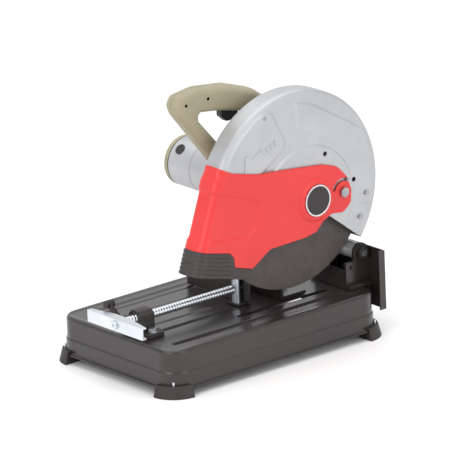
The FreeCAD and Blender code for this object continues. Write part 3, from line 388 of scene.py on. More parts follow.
def makeBase():
    low, high = (np.array(corner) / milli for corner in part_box("base_pan"))
    out, corner, lift = baseLook["flangeOut"], baseLook["corner"], baseLook["topRound"]
    halfWide, halfLong = high[0] - out, (high[1] - low[1]) / 2 - out
    middle = (low[1] + high[1]) / 2
    straight = halfLong - corner
    # the top is a grid whose rows narrow along each rounded corner: half width = side + root(r2 - d2)
    reach = corner - lift
    slotLeft, slotRight, slotFront, slotBack = baseLook["slot"]
    ends = straight + reach * np.sin(np.linspace(0, np.pi / 2, 13))
    inside = np.arange(-straight, straight + 1, 2.4)
    inside = inside[(abs(inside - (slotFront - middle)) > 1.3) & (abs(inside - (slotBack - middle)) > 1.3)]
    inside = np.sort(np.concatenate([inside, [slotFront - middle, slotBack - middle, straight]]))
    rows = np.concatenate([-ends[::-1][:-1], inside, ends[1:]])
    beyond = np.clip(abs(rows) - straight, 0, reach)
    wide = halfWide - corner + np.sqrt(np.clip(reach ** 2 - beyond ** 2, 0, None))
    across = np.arange(-1, 1.0001, 2.4 / (halfWide - lift))
    marks = np.array([slotLeft, slotRight]) / (halfWide - lift)
    across = across[(abs(across[:, None] - marks) > 0.008).all(1)]
    across = np.sort(np.concatenate([across, marks, [1.0]]))
    across = across[np.concatenate([[True], np.diff(across) > 1e-6])]
    x = across[None, :] * wide[:, None]
    y = np.broadcast_to(rows[:, None] + middle, x.shape)
    # each groove is a pressed channel with round ends: depth falls off with distance from its centre line
    sink = np.zeros_like(x)
    for centre, front, back, width, depth in baseLook["grooves"]:
        beside = np.hypot(x - centre, y - np.clip(y, front, back))
        sink = np.maximum(sink, depth * (1 - smoothStep(beside, width * 0.28, width * 0.72)))
    rim = np.minimum(halfWide - lift - abs(x), halfLong - lift - abs(y - middle))
    sink = np.maximum(sink, 1.0 * smoothStep(rim, 4, 8))
    z = high[2] - sink
    top = np.stack([x, y, z], -1)
    faces = gridFaces(*x.shape)
    centres = top.reshape(-1, 3)[faces].mean(1)
    keep = ~((centres[:, 0] > slotLeft) & (centres[:, 0] < slotRight)
             & (centres[:, 1] > slotFront) & (centres[:, 1] < slotBack))
    topNormal = np.broadcast_to([0.0, 0.0, 1.0], top.shape)
    # the skirt: a profile of (outward, down) pairs carried around the rim of the top
    edge = np.concatenate([top[0, :-1], top[:-1, -1], top[-1, :0:-1], top[:0:-1, 0]])
    edge[:, 2] = high[2]
    anchor = np.stack([np.clip(edge[:, 0], -(halfWide - corner), halfWide - corner),
                       np.clip(edge[:, 1] - middle, -straight, straight) + middle], 1)
    outward = edge[:, :2] - anchor
    outward /= np.linalg.norm(outward, axis=1)[:, None]
    bend = np.linspace(0, np.pi / 2, 7)
    toe = baseLook["toeRound"]
    drop = high[2] - low[2]
    first = [(-lift + lift * math.sin(a), lift - lift * math.cos(a)) for a in bend]
    ledge = [(0, 38), (0.2, 39), (1.6, 40.4), (2.0, 41.4), (2.0, 44), (2.0, drop - 3 - toe)]
    foot = [(2 + toe - toe * math.cos(a), drop - 3 - toe + toe * math.sin(a)) for a in bend[1:]]
    run = np.array(first + ledge + foot + [(out - 0.8, drop - 3), (out, drop - 2.2), (out, drop - 0.6)])
    step = np.gradient(run, axis=0)
    step /= np.linalg.norm(step, axis=1)[:, None]
    skirt = np.concatenate([edge[None, :, :2] + outward[None] * (run[:, None, :1] + lift),
                            np.broadcast_to(high[2] - run[:, None, 1:], (len(run), len(edge), 1))], -1)
    facing = np.concatenate([outward[None] * step[:, None, 1:],
                             np.broadcast_to(step[:, None, :1], (len(run), len(edge), 1))], -1)
    points = np.concatenate([top.reshape(-1, 3), skirt.reshape(-1, 3)])
    normals = np.concatenate([topNormal.reshape(-1, 3), facing.reshape(-1, 3)])
    sides = gridFaces(len(run), len(edge), around=True)[:, ::-1] + top.size // 3
    allFaces = np.vstack([faces[keep], sides])
    points, allFaces, (normals,) = weld(points, allFaces, [normals])
    used = np.unique(allFaces)
    index = np.full(len(points), -1)
    index[used] = np.arange(len(used))
    points, normals, allFaces = points[used], normals[used], index[allFaces]
    shell, shellFaces = thicken(points * milli, (points - normals * baseLook["sheet"]) * milli, allFaces)
    piece = addPiece("basePan", shell, shellFaces, 55)
    tidyNormals(piece)
    settle(piece, "base", ["base_pan"], "enamel")


makeBase()
print("base is pressed")


# Wheel guard casting

guardLook = {
    "radius": 188, "wall": 3, "left": 60, "right": 105, "hub": 62, "bearing": 24, "edge": 5,
    "turn": -9, "half": 119, "seam": (99.0, 0.9, 0.9),
    "disc": (113, 262, 105, 1.8), "panelRise": 1.8, "noseRise": 2.4,
    "panel": [(92, 452), (95, 405), (177, 361), (292, 288), (310, 330), (268, 357), (129, 442)],
    "nose": [(36, 446), (64, 389), (63, 377), (8, 340), (-60, 300), (-150, 300), (-150, 480)],
    "pockets": [[(237, 252), (300, 244), (300, 222), (232, 234)],
                [(221, 214), (262, 204), (262, 190), (209, 200)]],
    "holes": [(156, 344), (222, 281)], "holeRadius": 4.6,
}


def insideDepth(y, z, polygon):
    # how far a point lies inside a convex outline: the least distance to its sides, negative outside
    corners = np.asarray(polygon, float)
    area = np.sum(corners[:, 0] * np.roll(corners[:, 1], -1) - np.roll(corners[:, 0], -1) * corners[:, 1])
    depth = np.full(np.shape(y), 1e9)
    for start, end in zip(corners, np.roll(corners, -1, 0)):
        way = (end - start) / np.linalg.norm(end - start) * np.sign(area)
        depth = np.minimum(depth, way[0] * (z - start[1]) - way[1] * (y - start[0]))
    return depth


def guardRelief(y, z):
    # the height of the casting's face: a raised disc, a panel and a nose outside it, and two pockets
    discY, discZ, discRadius, discRise = guardLook["disc"]
    fromDisc = discRadius - np.hypot(y - discY, z - discZ)
    rise = discRise * smoothStep(fromDisc, -1.2, 1.2)
    outside = smoothStep(-fromDisc, 1, 3)
    # the panel is bounded by a kinked step, so it is two overlapping convex shapes
    corners = guardLook["panel"]
    front = insideDepth(y, z, [corners[0], corners[1], corners[2], corners[6]])
    back = insideDepth(y, z, [corners[1], corners[2], corners[3], corners[4], corners[5], corners[6]])
    rise = rise + guardLook["panelRise"] * smoothStep(np.maximum(front, back), -1.2, 1.2) * outside
    nose = insideDepth(y, z, guardLook["nose"])
    rise = rise + guardLook["noseRise"] * smoothStep(nose, -4.5, 3.5) * outside
    for pocket in guardLook["pockets"]:
        rise = rise - 1.0 * smoothStep(insideDepth(y, z, pocket), -0.8, 1.4)
    return rise


def makeWheelGuard():
    wheelY, wheelZ = guardPlace
    radius, edge, left, right = (guardLook[key] for key in ("radius", "edge", "left", "right"))
    bend = np.linspace(0, np.pi / 2, 7)
    # a profile of (x, radius, normal x, normal radial) from the left face over the rim to the right face
    run = [(left, r, -1, 0) for r in np.linspace(guardLook["hub"], radius - edge, 12)]
    run += [(left + edge - edge * math.cos(a), radius - edge + edge * math.sin(a), -math.cos(a), math.sin(a))
            for a in bend[1:]]
    seam, seamWide, seamDeep = guardLook["seam"]
    for x in list(np.linspace(left + edge + 3, seam - 3, 8)) + [seam - seamWide, seam, seam + seamWide]:
        run.append((x, radius - (seamDeep if x == seam else 0), 0, 1))
    run += [(right - edge + edge * math.sin(a), radius - edge + edge * math.cos(a), math.sin(a), math.cos(a))
            for a in bend[1:]]
    run += [(right, r, 1, 0) for r in np.linspace(radius - edge, guardLook["hub"], 74)[1:]]
    run = np.array(run)
    sector = np.radians(guardLook["turn"] + 90 + np.linspace(-guardLook["half"], guardLook["half"], 381))
    rest = np.linspace(sector[-1], sector[0] + 2 * np.pi, 41)[1:-1]
    circle = np.concatenate([sector, rest])

    def sweep(angles, profile):
        x = np.broadcast_to(profile[:, 0], (len(angles), len(profile)))
        y = wheelY + np.cos(angles)[:, None] * profile[:, 1]
        z = wheelZ + np.sin(angles)[:, None] * profile[:, 1]
        facing = np.stack([np.broadcast_to(profile[:, 2], x.shape), np.cos(angles)[:, None] * profile[:, 3],
                           np.sin(angles)[:, None] * profile[:, 3]], -1)
        return np.stack([x, y, z], -1), facing

    hubRight = np.array([(right, r, 1, 0) for r in np.linspace(guardLook["hub"], 0, 14)])
    hubLeft = np.array([(left, r, -1, 0) for r in np.linspace(guardLook["bearing"], guardLook["hub"], 6)])
    patches = [(*sweep(sector, run), False), (*sweep(circle, hubRight), True),
               (*sweep(circle, hubLeft), True)]
    points, normals, faces, count = [], [], [], 0
    for place, facing, around in patches:
        rows, columns = place.shape[:2]
        quads = gridFaces(rows + 1, columns) % (rows * columns) if around else gridFaces(rows, columns)
        if around:
            quads = np.vstack([gridFaces(rows, columns), np.stack([
                (rows - 1) * columns + np.arange(columns - 1), (rows - 1) * columns + np.arange(1, columns),
                np.arange(1, columns), np.arange(columns - 1)], 1)])
        points.append(place.reshape(-1, 3))
        normals.append(facing.reshape(-1, 3))
        faces.append(quads + count)
        count += rows * columns
    points, normals, faces = np.vstack(points), np.vstack(normals), np.vstack(faces)
    points, faces, (normals,) = weld(points, faces, [normals])
    inner = points - normals * guardLook["wall"]
    rise = guardRelief(points[:, 1], points[:, 2]) * (normals[:, 0] > 0.99)
    fromHub = np.hypot(points[:, 1] - wheelY, points[:, 2] - wheelZ)
    rise *= 1 - smoothStep(fromHub, radius - edge - 7, radius - edge - 1)
    shell, shellFaces = thicken((points + normals * rise[:, None]) * milli, inner * milli, faces)
    piece = addPiece("wheelGuard", shell, shellFaces, 50)
    tidyNormals(piece)
    drill = bmesh.new()
    for y, z in guardLook["holes"]:
        place = Matrix.Translation((right * milli, y * milli, z * milli))
        place = place @ Matrix.Rotation(math.pi / 2, 4, "Y")
        bmesh.ops.create_cone(drill, cap_ends=True, segments=40, radius1=guardLook["holeRadius"] * milli,
                              radius2=guardLook["holeRadius"] * milli, depth=0.016, matrix=place)
    bore(piece, drill)
    settle(piece, "head", ["wheel_guard"], "castAluminium")


def bore(piece, shape):  # takes a shape out of a piece for good
    mesh = bpy.data.meshes.new("tool")
    shape.to_mesh(mesh)
    shape.free()
    tool = bpy.data.objects.new("tool", mesh)
    bpy.context.scene.collection.objects.link(tool)
    cut = piece.modifiers.new("cut", "BOOLEAN")
    cut.object = tool
    cut.solver = "EXACT"
    bpy.context.view_layer.update()
    result = bpy.data.meshes.new_from_object(piece.evaluated_get(bpy.context.evaluated_depsgraph_get()))
    piece.modifiers.clear()
    piece.data = result
    result.name = piece.name
    bpy.data.objects.remove(tool)


wheelLow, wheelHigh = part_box("abrasive_wheel")
guardPlace = ((wheelLow[1] + wheelHigh[1]) / 2 / milli, (wheelLow[2] + wheelHigh[2]) / 2 / milli)
makeWheelGuard()
arrowLook = {
    "head": [(-30, 346), (-28, 379), (-22, 382), (-13, 372), (11, 387), (17, 377), (-8, 358), (-15, 346)],
    "bars": [(24, 382), (33, 386), (42, 390)], "face": 0.1073, "height": 0.0013, "edge": 0.0002,
}
raised = arrowLook["face"], arrowLook["height"], arrowLook["edge"]
arrow = plate("guardArrow", rounded(arrowLook["head"], 0.8, 1.5) * milli, *raised)
settle(arrow, "head", [], "castAluminium")
for number, (y, z) in enumerate(arrowLook["bars"]):
    corners = [(y - 4.4, z + 4), (y + 0.4, z + 5.6), (y + 4.4, z - 4), (y - 0.4, z - 5.6)]
    bar = plate(f"guardArrowBar{number + 1}", rounded(corners, 1.6, 0.9) * milli, *raised)
    settle(bar, "head", [], "castAluminium")
print("wheel guard is cast")


# Red safety guard and its rubber lip

def channelSheet(outlines, centres, box, front, wall, relief, spacing=2.4, rings=74, rimEdge=1.2):
    # Two cheeks and a front wall: each cheek is rays from its middle to its outline, and near the front edge
    # x follows a quarter circle, x = side - r + root(r2 - (r - d)2), where d is the distance from the front.
    left, right, radius = box
    top, foot = (np.array(point, float) for point in front)
    upward = (top - foot) / np.linalg.norm(top - foot)
    inward = np.array([upward[1], -upward[0]])
    points, normals, drops, quads, count = [], [], [], [], 0
    t = np.linspace(0, 1, rings)
    share = 1 - (1 - t) ** 2
    for side, outline, centre in zip((1, -1), outlines, centres):
        loop = rounded([corner[:2] for corner in outline], [corner[2] for corner in outline], spacing)
        centre = np.array(centre, float)
        rays = loop - centre
        along = np.roll(loop, -1, 0) - np.roll(loop, 1, 0)
        along /= np.linalg.norm(along, axis=1)[:, None]
        reach = abs(rays[:, 0] * along[:, 1] - rays[:, 1] * along[:, 0])
        spots = centre + share[:, None, None] * rays
        depth = (1 - share)[:, None] * reach[None]
        fromFront = (spots - foot) @ inward
        onFront = abs((loop - foot) @ inward) < 1e-6
        depth[:, onFront] = 1e9
        near = np.clip(fromFront, 0, radius)
        ahead = (radius - near) / radius
        beside = np.sqrt(np.clip(1 - ahead ** 2, 0, 1))
        edgeX = right - radius + radius * beside if side > 0 else left + radius - radius * beside
        points.append(np.concatenate([edgeX[..., None], spots], -1).reshape(-1, 3))
        normals.append(np.stack([side * beside, -inward[0] * ahead, -inward[1] * ahead], -1).reshape(-1, 3))
        fall = rimEdge - np.sqrt(rimEdge ** 2 - (rimEdge - np.clip(depth, 0, rimEdge)) ** 2)
        drops.append(fall.reshape(-1))
        faces = gridFaces(rings, len(loop), around=True)
        quads.append((faces if side > 0 else faces[:, ::-1]) + count)
        count += rings * len(loop)
    frontLine = loop[onFront]
    frontLine = frontLine[np.argsort(-frontLine[:, 1])]
    x = np.linspace(right - radius, left + radius, 12)
    strip = np.concatenate([np.broadcast_to(x[:, None, None], (12, len(frontLine), 1)),
                            np.broadcast_to(frontLine[None], (12, *frontLine.shape))], -1)
    points.append(strip.reshape(-1, 3))
    normals.append(np.broadcast_to([0, -inward[0], -inward[1]], (strip.size // 3, 3)))
    drops.append(np.zeros(strip.size // 3))
    quads.append(gridFaces(12, len(frontLine))[:, ::-1] + count)
    points, normals, drops = np.vstack(points), np.vstack(normals), np.concatenate(drops)
    points, faces, (normals, drops) = weld(points, np.vstack(quads), [normals, drops])
    height = relief(points, normals) - drops
    return thicken((points + normals * height[:, None]) * milli, (points - normals * wall) * milli, faces)


shieldLook = {
    "wall": 3, "frontRound": 18, "panelDepth": 2.4, "right": 111.0,
    "outline": [(-87, 372, 0), (-138, 230, 0), (-72, 214, 5), (-64, 203, 5), (-63, 186, 3), (-23, 174, 2),
                (19, 200, 16), (101, 202, 20), (127, 207, 12), (142, 222, 9), (164, 232, 12), (191, 228, 16),
                (209, 243, 14), (211, 266, 14), (202, 292, 20), (180, 316, 24), (146, 327, 24), (45, 339, 90),
                (0, 343, 60), (-57, 357, 60)],
    "leftOutline": [(-87, 372, 0), (-138, 230, 0), (-72, 214, 5), (-64, 203, 5), (-63, 186, 3),
                    (-25, 174.6, 0), (-25, 349.1, 4), (-57, 357, 30)],
    "panel": [(-260, 388), (2, 295), (-10, 245), (-30, 234), (-260, 258)],
    "chamferStart": 346, "chamferSlope": 0.42,
    "slot": (19.8, 26.2, 60, 158),
    "boss": [(-0.001, 0), (-0.001, 0.0405), (0.0002, 0.0401), (0.0010, 0.0392), (0.0024, 0.0362),
             (0.0036, 0.0335), (0.0040, 0.0315), (0.0040, 0.0300), (0.0034, 0.0294), (0.0034, 0)],
}


def shieldRelief(points, normals):
    # a sunk panel with soft edges, and a front that falls back in a straight line above a height
    y, z = points[:, 1], points[:, 2]
    panel = insideDepth(y, z, shieldLook["panel"])
    height = -shieldLook["panelDepth"] * smoothStep(panel, -1.5, 5)
    facesFront = np.clip(-normals[:, 1], 0, 1)
    above = np.clip(z - shieldLook["chamferStart"], 0, None)
    height = height - shieldLook["chamferSlope"] * above * facesFront
    return height


def makeShield():
    low = np.array(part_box("safety_guard")[0]) / milli
    right = shieldLook["right"]
    sheet = channelSheet([shieldLook["outline"], shieldLook["leftOutline"]], [(20, 270), (-62, 280)],
                         (low[0], right, shieldLook["frontRound"]),
                         [shieldLook["outline"][0][:2], shieldLook["outline"][1][:2]],
                         shieldLook["wall"], shieldRelief)
    piece = addPiece("safetyGuard", *sheet, 50)
    pivotLow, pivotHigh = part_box("shield_pivot_bolt")
    pivot = (pivotLow + pivotHigh) / 2
    tool = bmesh.new()
    innerR, outerR, first, last = shieldLook["slot"]
    middleR, halfWide = (innerR + outerR) / 2, (outerR - innerR) / 2
    # the slot follows an arc about the pivot and has round ends
    sweep = np.radians(np.linspace(first, last, 24))
    cap = np.linspace(0, np.pi, 9)[1:-1]
    outerArc = np.stack([outerR * np.cos(sweep), outerR * np.sin(sweep)], 1)
    innerArc = np.stack([innerR * np.cos(sweep), innerR * np.sin(sweep)], 1)[::-1]

    def roundEnd(angle, start):
        centre = middleR * np.array([math.cos(angle), math.sin(angle)])
        turn = angle + start + cap
        return centre + halfWide * np.stack([np.cos(turn), np.sin(turn)], 1)

    ring = np.vstack([outerArc, roundEnd(sweep[-1], 0), innerArc, roundEnd(sweep[0], np.pi)])
    vertices = [[tool.verts.new((x, pivot[1] + a * milli, pivot[2] + b * milli)) for a, b in ring]
                for x in (0.100, 0.120)]
    tool.faces.new(vertices[0][::-1])
    tool.faces.new(vertices[1])
    for k in range(len(ring)):
        j = (k + 1) % len(ring)
        tool.faces.new((vertices[0][k], vertices[0][j], vertices[1][j], vertices[1][k]))
    bmesh.ops.recalc_face_normals(tool, faces=tool.faces)
    bore(piece, tool)
    settle(piece, "shield", ["safety_guard"], "redPlastic")
    badgeLow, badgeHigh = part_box("badge_disc")
    badge = (badgeLow + badgeHigh) / 2
    start = right * milli
    profile = [(start + along, radius) for along, radius in shieldLook["boss"]]
    boss = turned("shieldBoss", profile, (0, badge[1], badge[2]))
    settle(boss, "shield", [], "redPlastic")


lipLook = {
    "wall": 3, "ribs": 6, "ribHeight": 1.7, "frontRound": 18,
    "outline": [(-138, 229.7, 0), (-153, 187, 0), (-34, 157, 2), (-23.3, 173.7, 2), (-63.3, 185.7, 3),
                (-64.3, 202.7, 4), (-72.2, 213.7, 4)],
    "tall": 45.0, "middle": (-88, 188),
}


def lipRelief(points, normals):
    # ribs run level with the lower edge: each is a rounded saw tooth of the height above that edge
    y, z = points[:, 1], points[:, 2]
    front, rear = np.array(lipLook["outline"][1][:2]), np.array(lipLook["outline"][2][:2])
    lower = (rear - front) / np.linalg.norm(rear - front)
    above = lower[0] * (z - front[1]) - lower[1] * (y - front[0])
    phase = (above / lipLook["tall"] * lipLook["ribs"]) % 1
    rib = smoothStep(phase, 0.0, 0.18) * (1 - 0.75 * smoothStep(phase, 0.25, 1.0))
    fade = 1 - smoothStep(y, -80, -68)
    return lipLook["ribHeight"] * rib * fade


def makeLip():
    low, high = (np.array(corner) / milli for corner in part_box("rubber_lip"))
    sheet = channelSheet([lipLook["outline"]] * 2, [lipLook["middle"]] * 2,
                         (low[0], high[0], lipLook["frontRound"]),
                         [lipLook["outline"][0][:2], lipLook["outline"][1][:2]],
                         lipLook["wall"], lipRelief, spacing=1.6, rings=60, rimEdge=0.8)
    piece = addPiece("rubberLip", *sheet, 60)
    settle(piece, "shield", ["rubber_lip"], "lipRubber")


makeShield()
makeLip()
print("red guard and rubber lip are moulded")


# Silver motor housing and its end cap

motorLook = {
    "wall": 0.003, "joint": 0.060, "jointDeep": 0.0007, "seam": 0.0014,
    "capDepth": 0.0058, "capRound": 0.0070,
}


def makeMotor():
    low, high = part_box("motor_housing")
    middle = (low + high) / 2
    radius = (high[2] - low[2]) / 2
    wall, joint, sunk = motorLook["wall"], motorLook["joint"], motorLook["jointDeep"]
    seam = motorLook["seam"]
    inner = radius - wall
    left, right = low[0], high[0]
    # outer wall, then the bore back again
    housing = turned("motorHousing", [
        (left + seam, inner), (left + seam, radius - 0.0006), (left + 0.0022, radius),
        (left + joint, radius), (left + joint + 0.0005, radius - sunk),
        (left + joint + 0.0012, radius - sunk),
        (left + joint + 0.0017, radius), (right, radius), (right, inner)], (0, middle[1], middle[2]))
    settle(housing, "head", ["motor_housing"], "castAluminium")
    ring = turned("motorSeam", [(left - 0.0004, inner), (left - 0.0004, radius - sunk),
                                (left + seam, radius - sunk), (left + seam, inner)],
                  (0, middle[1], middle[2]))
    settle(ring, "head", [], "blackPlastic")
    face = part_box("motor_end_cap")[0][0]
    bend = np.linspace(0, np.pi / 2, 9)
    depth, reach = motorLook["capDepth"], motorLook["capRound"]
    # the cap's edge is a quarter ellipse, and its inside is the same shape one wall further in
    dome = [(face + depth - depth * math.sin(a), radius - reach + reach * math.cos(a)) for a in bend]
    inside = [(x + wall, r - wall) for x, r in dome[::-1]]
    cap = turned("motorEndCap", [(left - 0.0004, radius - 0.0002), *dome, (face, 0), (face + wall, 0),
                                 *inside, (left - 0.0004, radius - wall - 0.0002)],
                 (0, middle[1], middle[2]))
    settle(cap, "head", ["motor_end_cap"], "khakiPlastic")


# Moulded D handle

handleLook = {
    "centre": (-5, 415), "steps": 420, "outerRound": (13, 15), "innerRound": (8, 11), "seam": (0.7, 0.7),
    "outer": [(-119, 474, 15), (-108, 492, 15), (-62, 498, 40), (4, 490, 60), (62, 470, 60), (113, 434, 20),
              (124, 404, 14), (116, 350, 14), (-30, 350, 14), (-112, 456, 20)],
    "inner": [(-64, 453, 6), (-66, 440, 7), (-12, 376, 9), (4, 366, 9), (48, 368, 12), (64, 386, 9),
              (58, 420, 5), (44, 432, 4), (-20, 447, 4)],
    "triggerSlot": (7, 23, -10, 37, 421, 457), "buttonRadius": 6.3,
}


def loopByAngle(corners, angles):
    # how far a rounded outline lies from the handle's middle in each direction
    loop = rounded([c[:2] for c in corners], [c[2] for c in corners], 1.0) - np.array(handleLook["centre"])
    bearing = np.arctan2(loop[:, 1], loop[:, 0])
    order = np.argsort(bearing)
    reach = np.interp(angles, bearing[order], np.hypot(loop[order, 0], loop[order, 1]), period=2 * np.pi)
    spots = np.array(handleLook["centre"]) + reach[:, None] * np.stack([np.cos(angles), np.sin(angles)], 1)
    along = np.roll(spots, -1, 0) - np.roll(spots, 1, 0)
    along /= np.linalg.norm(along, axis=1)[:, None]
    return spots, np.stack([along[:, 1], -along[:, 0]], 1)


def makeHandle():
    angles = np.linspace(-np.pi, np.pi, handleLook["steps"], endpoint=False)
    outer, outward = loopByAngle(handleLook["outer"], angles)
    inner, away = loopByAngle(handleLook["inner"], angles)
    (outerIn, outerAcross), (innerIn, innerAcross) = handleLook["outerRound"], handleLook["innerRound"]
    notchWide, notchDeep = handleLook["seam"]
    bend = np.linspace(0, np.pi / 2, 10)
    for node, name, sign in (("handle_shell_left", "handleShellLeft", -1),
                             ("handle_shell_right", "handleShellRight", 1)):
        low, high = (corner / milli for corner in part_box(node))
        split, side = (high[0], low[0]) if sign < 0 else (low[0], high[0])
        # from the seam on the outside, over an elliptic edge, across the flat side, to the seam inside
        rings = [(split, outer - outward * notchDeep), (split + sign * notchWide, outer)]
        rings += [(side - sign * outerAcross * (1 - math.sin(a)),
                   outer - outward * outerIn * (1 - math.cos(a))) for a in bend]
        rings += [(side - sign * innerAcross * (1 - math.sin(a)),
                   inner + away * innerIn * (1 - math.cos(a))) for a in bend[::-1]]
        rings += [(split + sign * notchWide, inner), (split, inner + away * notchDeep)]
        points = np.vstack([np.column_stack([np.full(len(angles), x), loop]) for x, loop in rings])
        faces = gridFaces(len(rings) + 1, len(angles), around=True) % (len(rings) * len(angles))
        points, faces, _ = weld(points * milli, faces)
        piece = addPiece(name, points, faces, 40)
        tidyNormals(piece)
        left, right, front, back, under, over = (v * milli for v in handleLook["triggerSlot"])
        shape = bmesh.new()
        middle = Matrix.Translation(((left + right) / 2, (front + back) / 2, (under + over) / 2))
        size = Matrix.Diagonal((right - left, back - front, over - under, 1))
        bmesh.ops.create_cube(shape, size=1, matrix=middle @ size)
        if sign < 0:
            buttonLow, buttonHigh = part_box("lock_button")
            spot = (buttonLow + buttonHigh) / 2
            radius = handleLook["buttonRadius"] * milli
            place = Matrix.Translation((split * milli - 0.016, spot[1], spot[2]))
            place = place @ Matrix.Rotation(math.pi / 2, 4, "Y")
            bmesh.ops.create_cone(shape, cap_ends=True, segments=48, radius1=radius, radius2=radius,
                                  depth=0.024, matrix=place)
        bore(piece, shape)
        settle(piece, "head", [node], "khakiPlastic")


# Threaded vise screw

screwLook = {
    "pitch": 0.006, "depth": 0.0009, "perTurn": 10, "around": 40, "plainStart": 0.004, "plainEnd": 0.018,
    "journal": 0.004, "chamfer": 0.0008, "runOut": 0.004,
}


def makeScrew():
    low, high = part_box("vise_screw")
    middle = (low + high) / 2
    radius = (high[2] - low[2]) / 2
    # a rounded thread: radius falls with a smooth wave of (y / pitch - angle / full turn)
    plainStart, threadEnd = low[1] + screwLook["plainStart"], high[1] - screwLook["plainEnd"]
    journal, chamfer = screwLook["journal"], screwLook["chamfer"]
    along = np.arange(plainStart, threadEnd, screwLook["pitch"] / screwLook["perTurn"])
    angle = np.linspace(0, 2 * np.pi, screwLook["around"], endpoint=False)
    phase = (along[:, None] - along[0]) / screwLook["pitch"] - angle[None, :] / (2 * np.pi)
    wave = abs((phase % 1) * 2 - 1)
    runOut = screwLook["runOut"]
    fade = smoothStep(along, along[0], along[0] + runOut)
    fade = fade * (1 - smoothStep(along, along[-1] - runOut, along[-1]))
    reach = radius - screwLook["depth"] * smoothStep(wave, 0.25, 0.75) * fade[:, None]
    ends = [(low[1], 0), (low[1], radius - chamfer), (low[1] + chamfer, radius)]
    tail = [(threadEnd, radius), (threadEnd + 0.0004, journal), (high[1], journal), (high[1], 0)]
    rows = [np.full(len(angle), r) for _, r in ends] + list(reach) + [np.full(len(angle), r) for _, r in tail]
    places = np.array([y for y, _ in ends] + along.tolist() + [y for y, _ in tail])
    rows = np.array(rows)
    points = np.stack([middle[0] + rows * np.cos(angle), np.broadcast_to(places[:, None], rows.shape),
                       middle[2] + rows * np.sin(angle)], -1).reshape(-1, 3)
    points, faces, _ = weld(points, gridFaces(len(rows), len(angle), around=True))
    piece = addPiece("viseScrew", points, faces, 50)
    tidyNormals(piece)
    settle(piece, "crank", ["vise_screw"], "zinc")


# Return spring

springLook = {"wire": 0.0015, "turns": 4.6}


def makeSpring():
    low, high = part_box("return_spring")
    pinLow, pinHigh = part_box("pivot_pin")
    middle = (pinLow + pinHigh) / 2
    wire, turns = springLook["wire"], springLook["turns"]
    coil = (high[1] - low[1]) / 2 - wire
    t = np.linspace(0, 1, 260)
    angle = 2 * np.pi * turns * t
    # a helix along X, then a straight leg down to the bracket
    centre = np.stack([low[0] + wire + (high[0] - low[0] - 2 * wire) * t,
                       middle[1] + coil * np.cos(angle), middle[2] + coil * np.sin(angle)], 1)
    leg = np.linspace(0, 1, 14)[1:, None] * np.array([[0, 0, low[2] + wire - middle[2]]])
    centre = np.vstack([(centre[0] + leg)[::-1], centre])
    along = np.gradient(centre, axis=0)
    along /= np.linalg.norm(along, axis=1)[:, None]
    aside = np.cross(along, [1.0, 0, 0])
    aside /= np.linalg.norm(aside, axis=1)[:, None]
    third = np.cross(along, aside)
    turn = np.linspace(0, 2 * np.pi, 14, endpoint=False)
    thick = np.full(len(centre), wire)
    thick[[0, -1]] = 0
    points = (centre[:, None] + thick[:, None, None] * (aside[:, None] * np.cos(turn)[None, :, None]
              + third[:, None] * np.sin(turn)[None, :, None])).reshape(-1, 3)
    points, faces, _ = weld(points, gridFaces(len(centre), len(turn), around=True))
    piece = addPiece("returnSpring", points, faces, 60)
    tidyNormals(piece)
    settle(piece, "base", ["return_spring"], "steel")


makeMotor()
makeHandle()
makeScrew()
makeSpring()
print("motor, handle, screw and spring are made")

# Softened copies of the plain machined, pressed and moulded parts

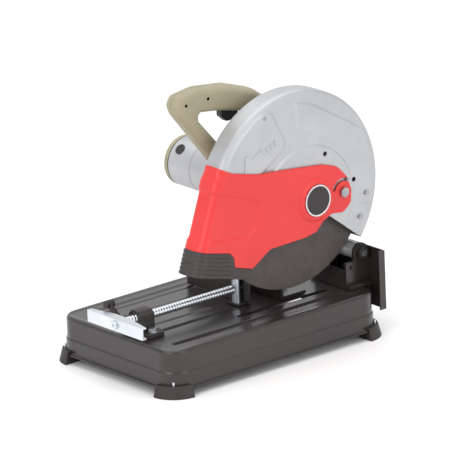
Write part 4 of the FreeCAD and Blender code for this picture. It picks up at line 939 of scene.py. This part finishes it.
copies = [
    # node, name, edge, finish, slot
    ("foot_front_left", "footFrontLeft", 0.0022, "rubber", "foot_rubber"),
    ("foot_front_right", "footFrontRight", 0.0022, "rubber", "foot_rubber"),
    ("foot_rear_left", "footRearLeft", 0.0022, "rubber", "foot_rubber"),
    ("foot_rear_right", "footRearRight", 0.0022, "rubber", "foot_rubber"),
    ("fence", "workStop", 0.0010, "enamel", "black_enamel"),
    ("table_bolts", "tableBolts", 0.0004, "zinc", "zinc"),
    ("vise_bracket", "viseBracket", 0.0012, "castIron", "cast_iron"),
    ("half_nut_pin", "halfNutPin", 0.0004, "zinc", "zinc"),
    ("half_nut_lever", "halfNutLever", 0.0010, "castIron", "cast_iron"),
    ("pivot_bracket", "pivotBracket", 0.0010, "enamel", "black_enamel"),
    ("bracket_bolts", "bracketBolts", 0.0004, "zinc", "zinc"),
    ("depth_stop_bolt", "depthStopBolt", 0.0004, "zinc", "zinc"),
    ("pivot_nuts", "pivotNuts", 0.0005, "blackPlastic", "black_enamel"),
    ("spark_plate", "sparkPlate", 0.0007, "enamel", "black_enamel"),
    ("vise_jaw", "viseJaw", 0.0010, "enamel", "black_enamel"),
    ("jaw_pin", "jawPin", 0.0006, "zinc", "zinc"),
    ("crank_rivet", "crankRivet", 0.0005, "zinc", "zinc"),
    ("crank_handle", "crankHandle", 0.0009, "zinc", "zinc"),
    ("head_casting", "headCasting", 0.0016, "castAluminium", "cast_aluminium"),
    ("shield_pivot_bolt", "shieldPivotBolt", 0.0004, "steel", "steel"),
    ("shield_stop_pin", "shieldStopPin", 0.0004, "steel", "steel"),
    ("brush_caps", "brushCaps", 0.0006, "blackPlastic", "black_plastic"),
    ("housing_screws", "housingScrews", 0.0004, "steel", "steel"),
    ("trigger", "trigger", 0.0014, "blackPlastic", "black_plastic"),
    ("lock_button", "lockButton", 0.0010, "blackPlastic", "black_plastic"),
    ("spindle_lock", "spindleLock", 0.0008, "blackPlastic", "black_plastic"),
    ("cord_gland", "cordGland", 0.0010, "blackPlastic", "black_plastic"),
    ("abrasive_wheel", "abrasiveWheel", 0.0004, "abrasive", "abrasive"),
    ("badge_ring", "badgeRing", 0.0005, "silverTrim", "silver_trim"),
    ("badge_disc", "badgeDisc", 0.0004, "blackPlastic", "black_plastic"),
]
for node, name, edge, finish, slot in copies:
    softCopy(node, name, edge, finish)
print(len(copies), "parts have broken edges")

finishOfSlot = {
    "black_enamel": "enamel", "foot_rubber": "rubber", "lip_rubber": "lipRubber", "zinc": "zinc",
    "steel": "steel", "cast_aluminium": "castAluminium", "red_plastic": "redPlastic",
    "khaki_plastic": "khakiPlastic", "black_plastic": "blackPlastic", "abrasive": "abrasive",
    "copper": "copper", "laminated_steel": "lamination", "carbon": "carbon", "silver_trim": "silverTrim",
    "cast_iron": "castIron",
}
slotOfNode = {part["node"]: part["material_slot"] for part in frame["record"]["subparts"]}
for name, part in frame["nodes"].items():
    part.data.materials.clear()
    part.data.materials.append(finishes[finishOfSlot[slotOfNode[name]]])
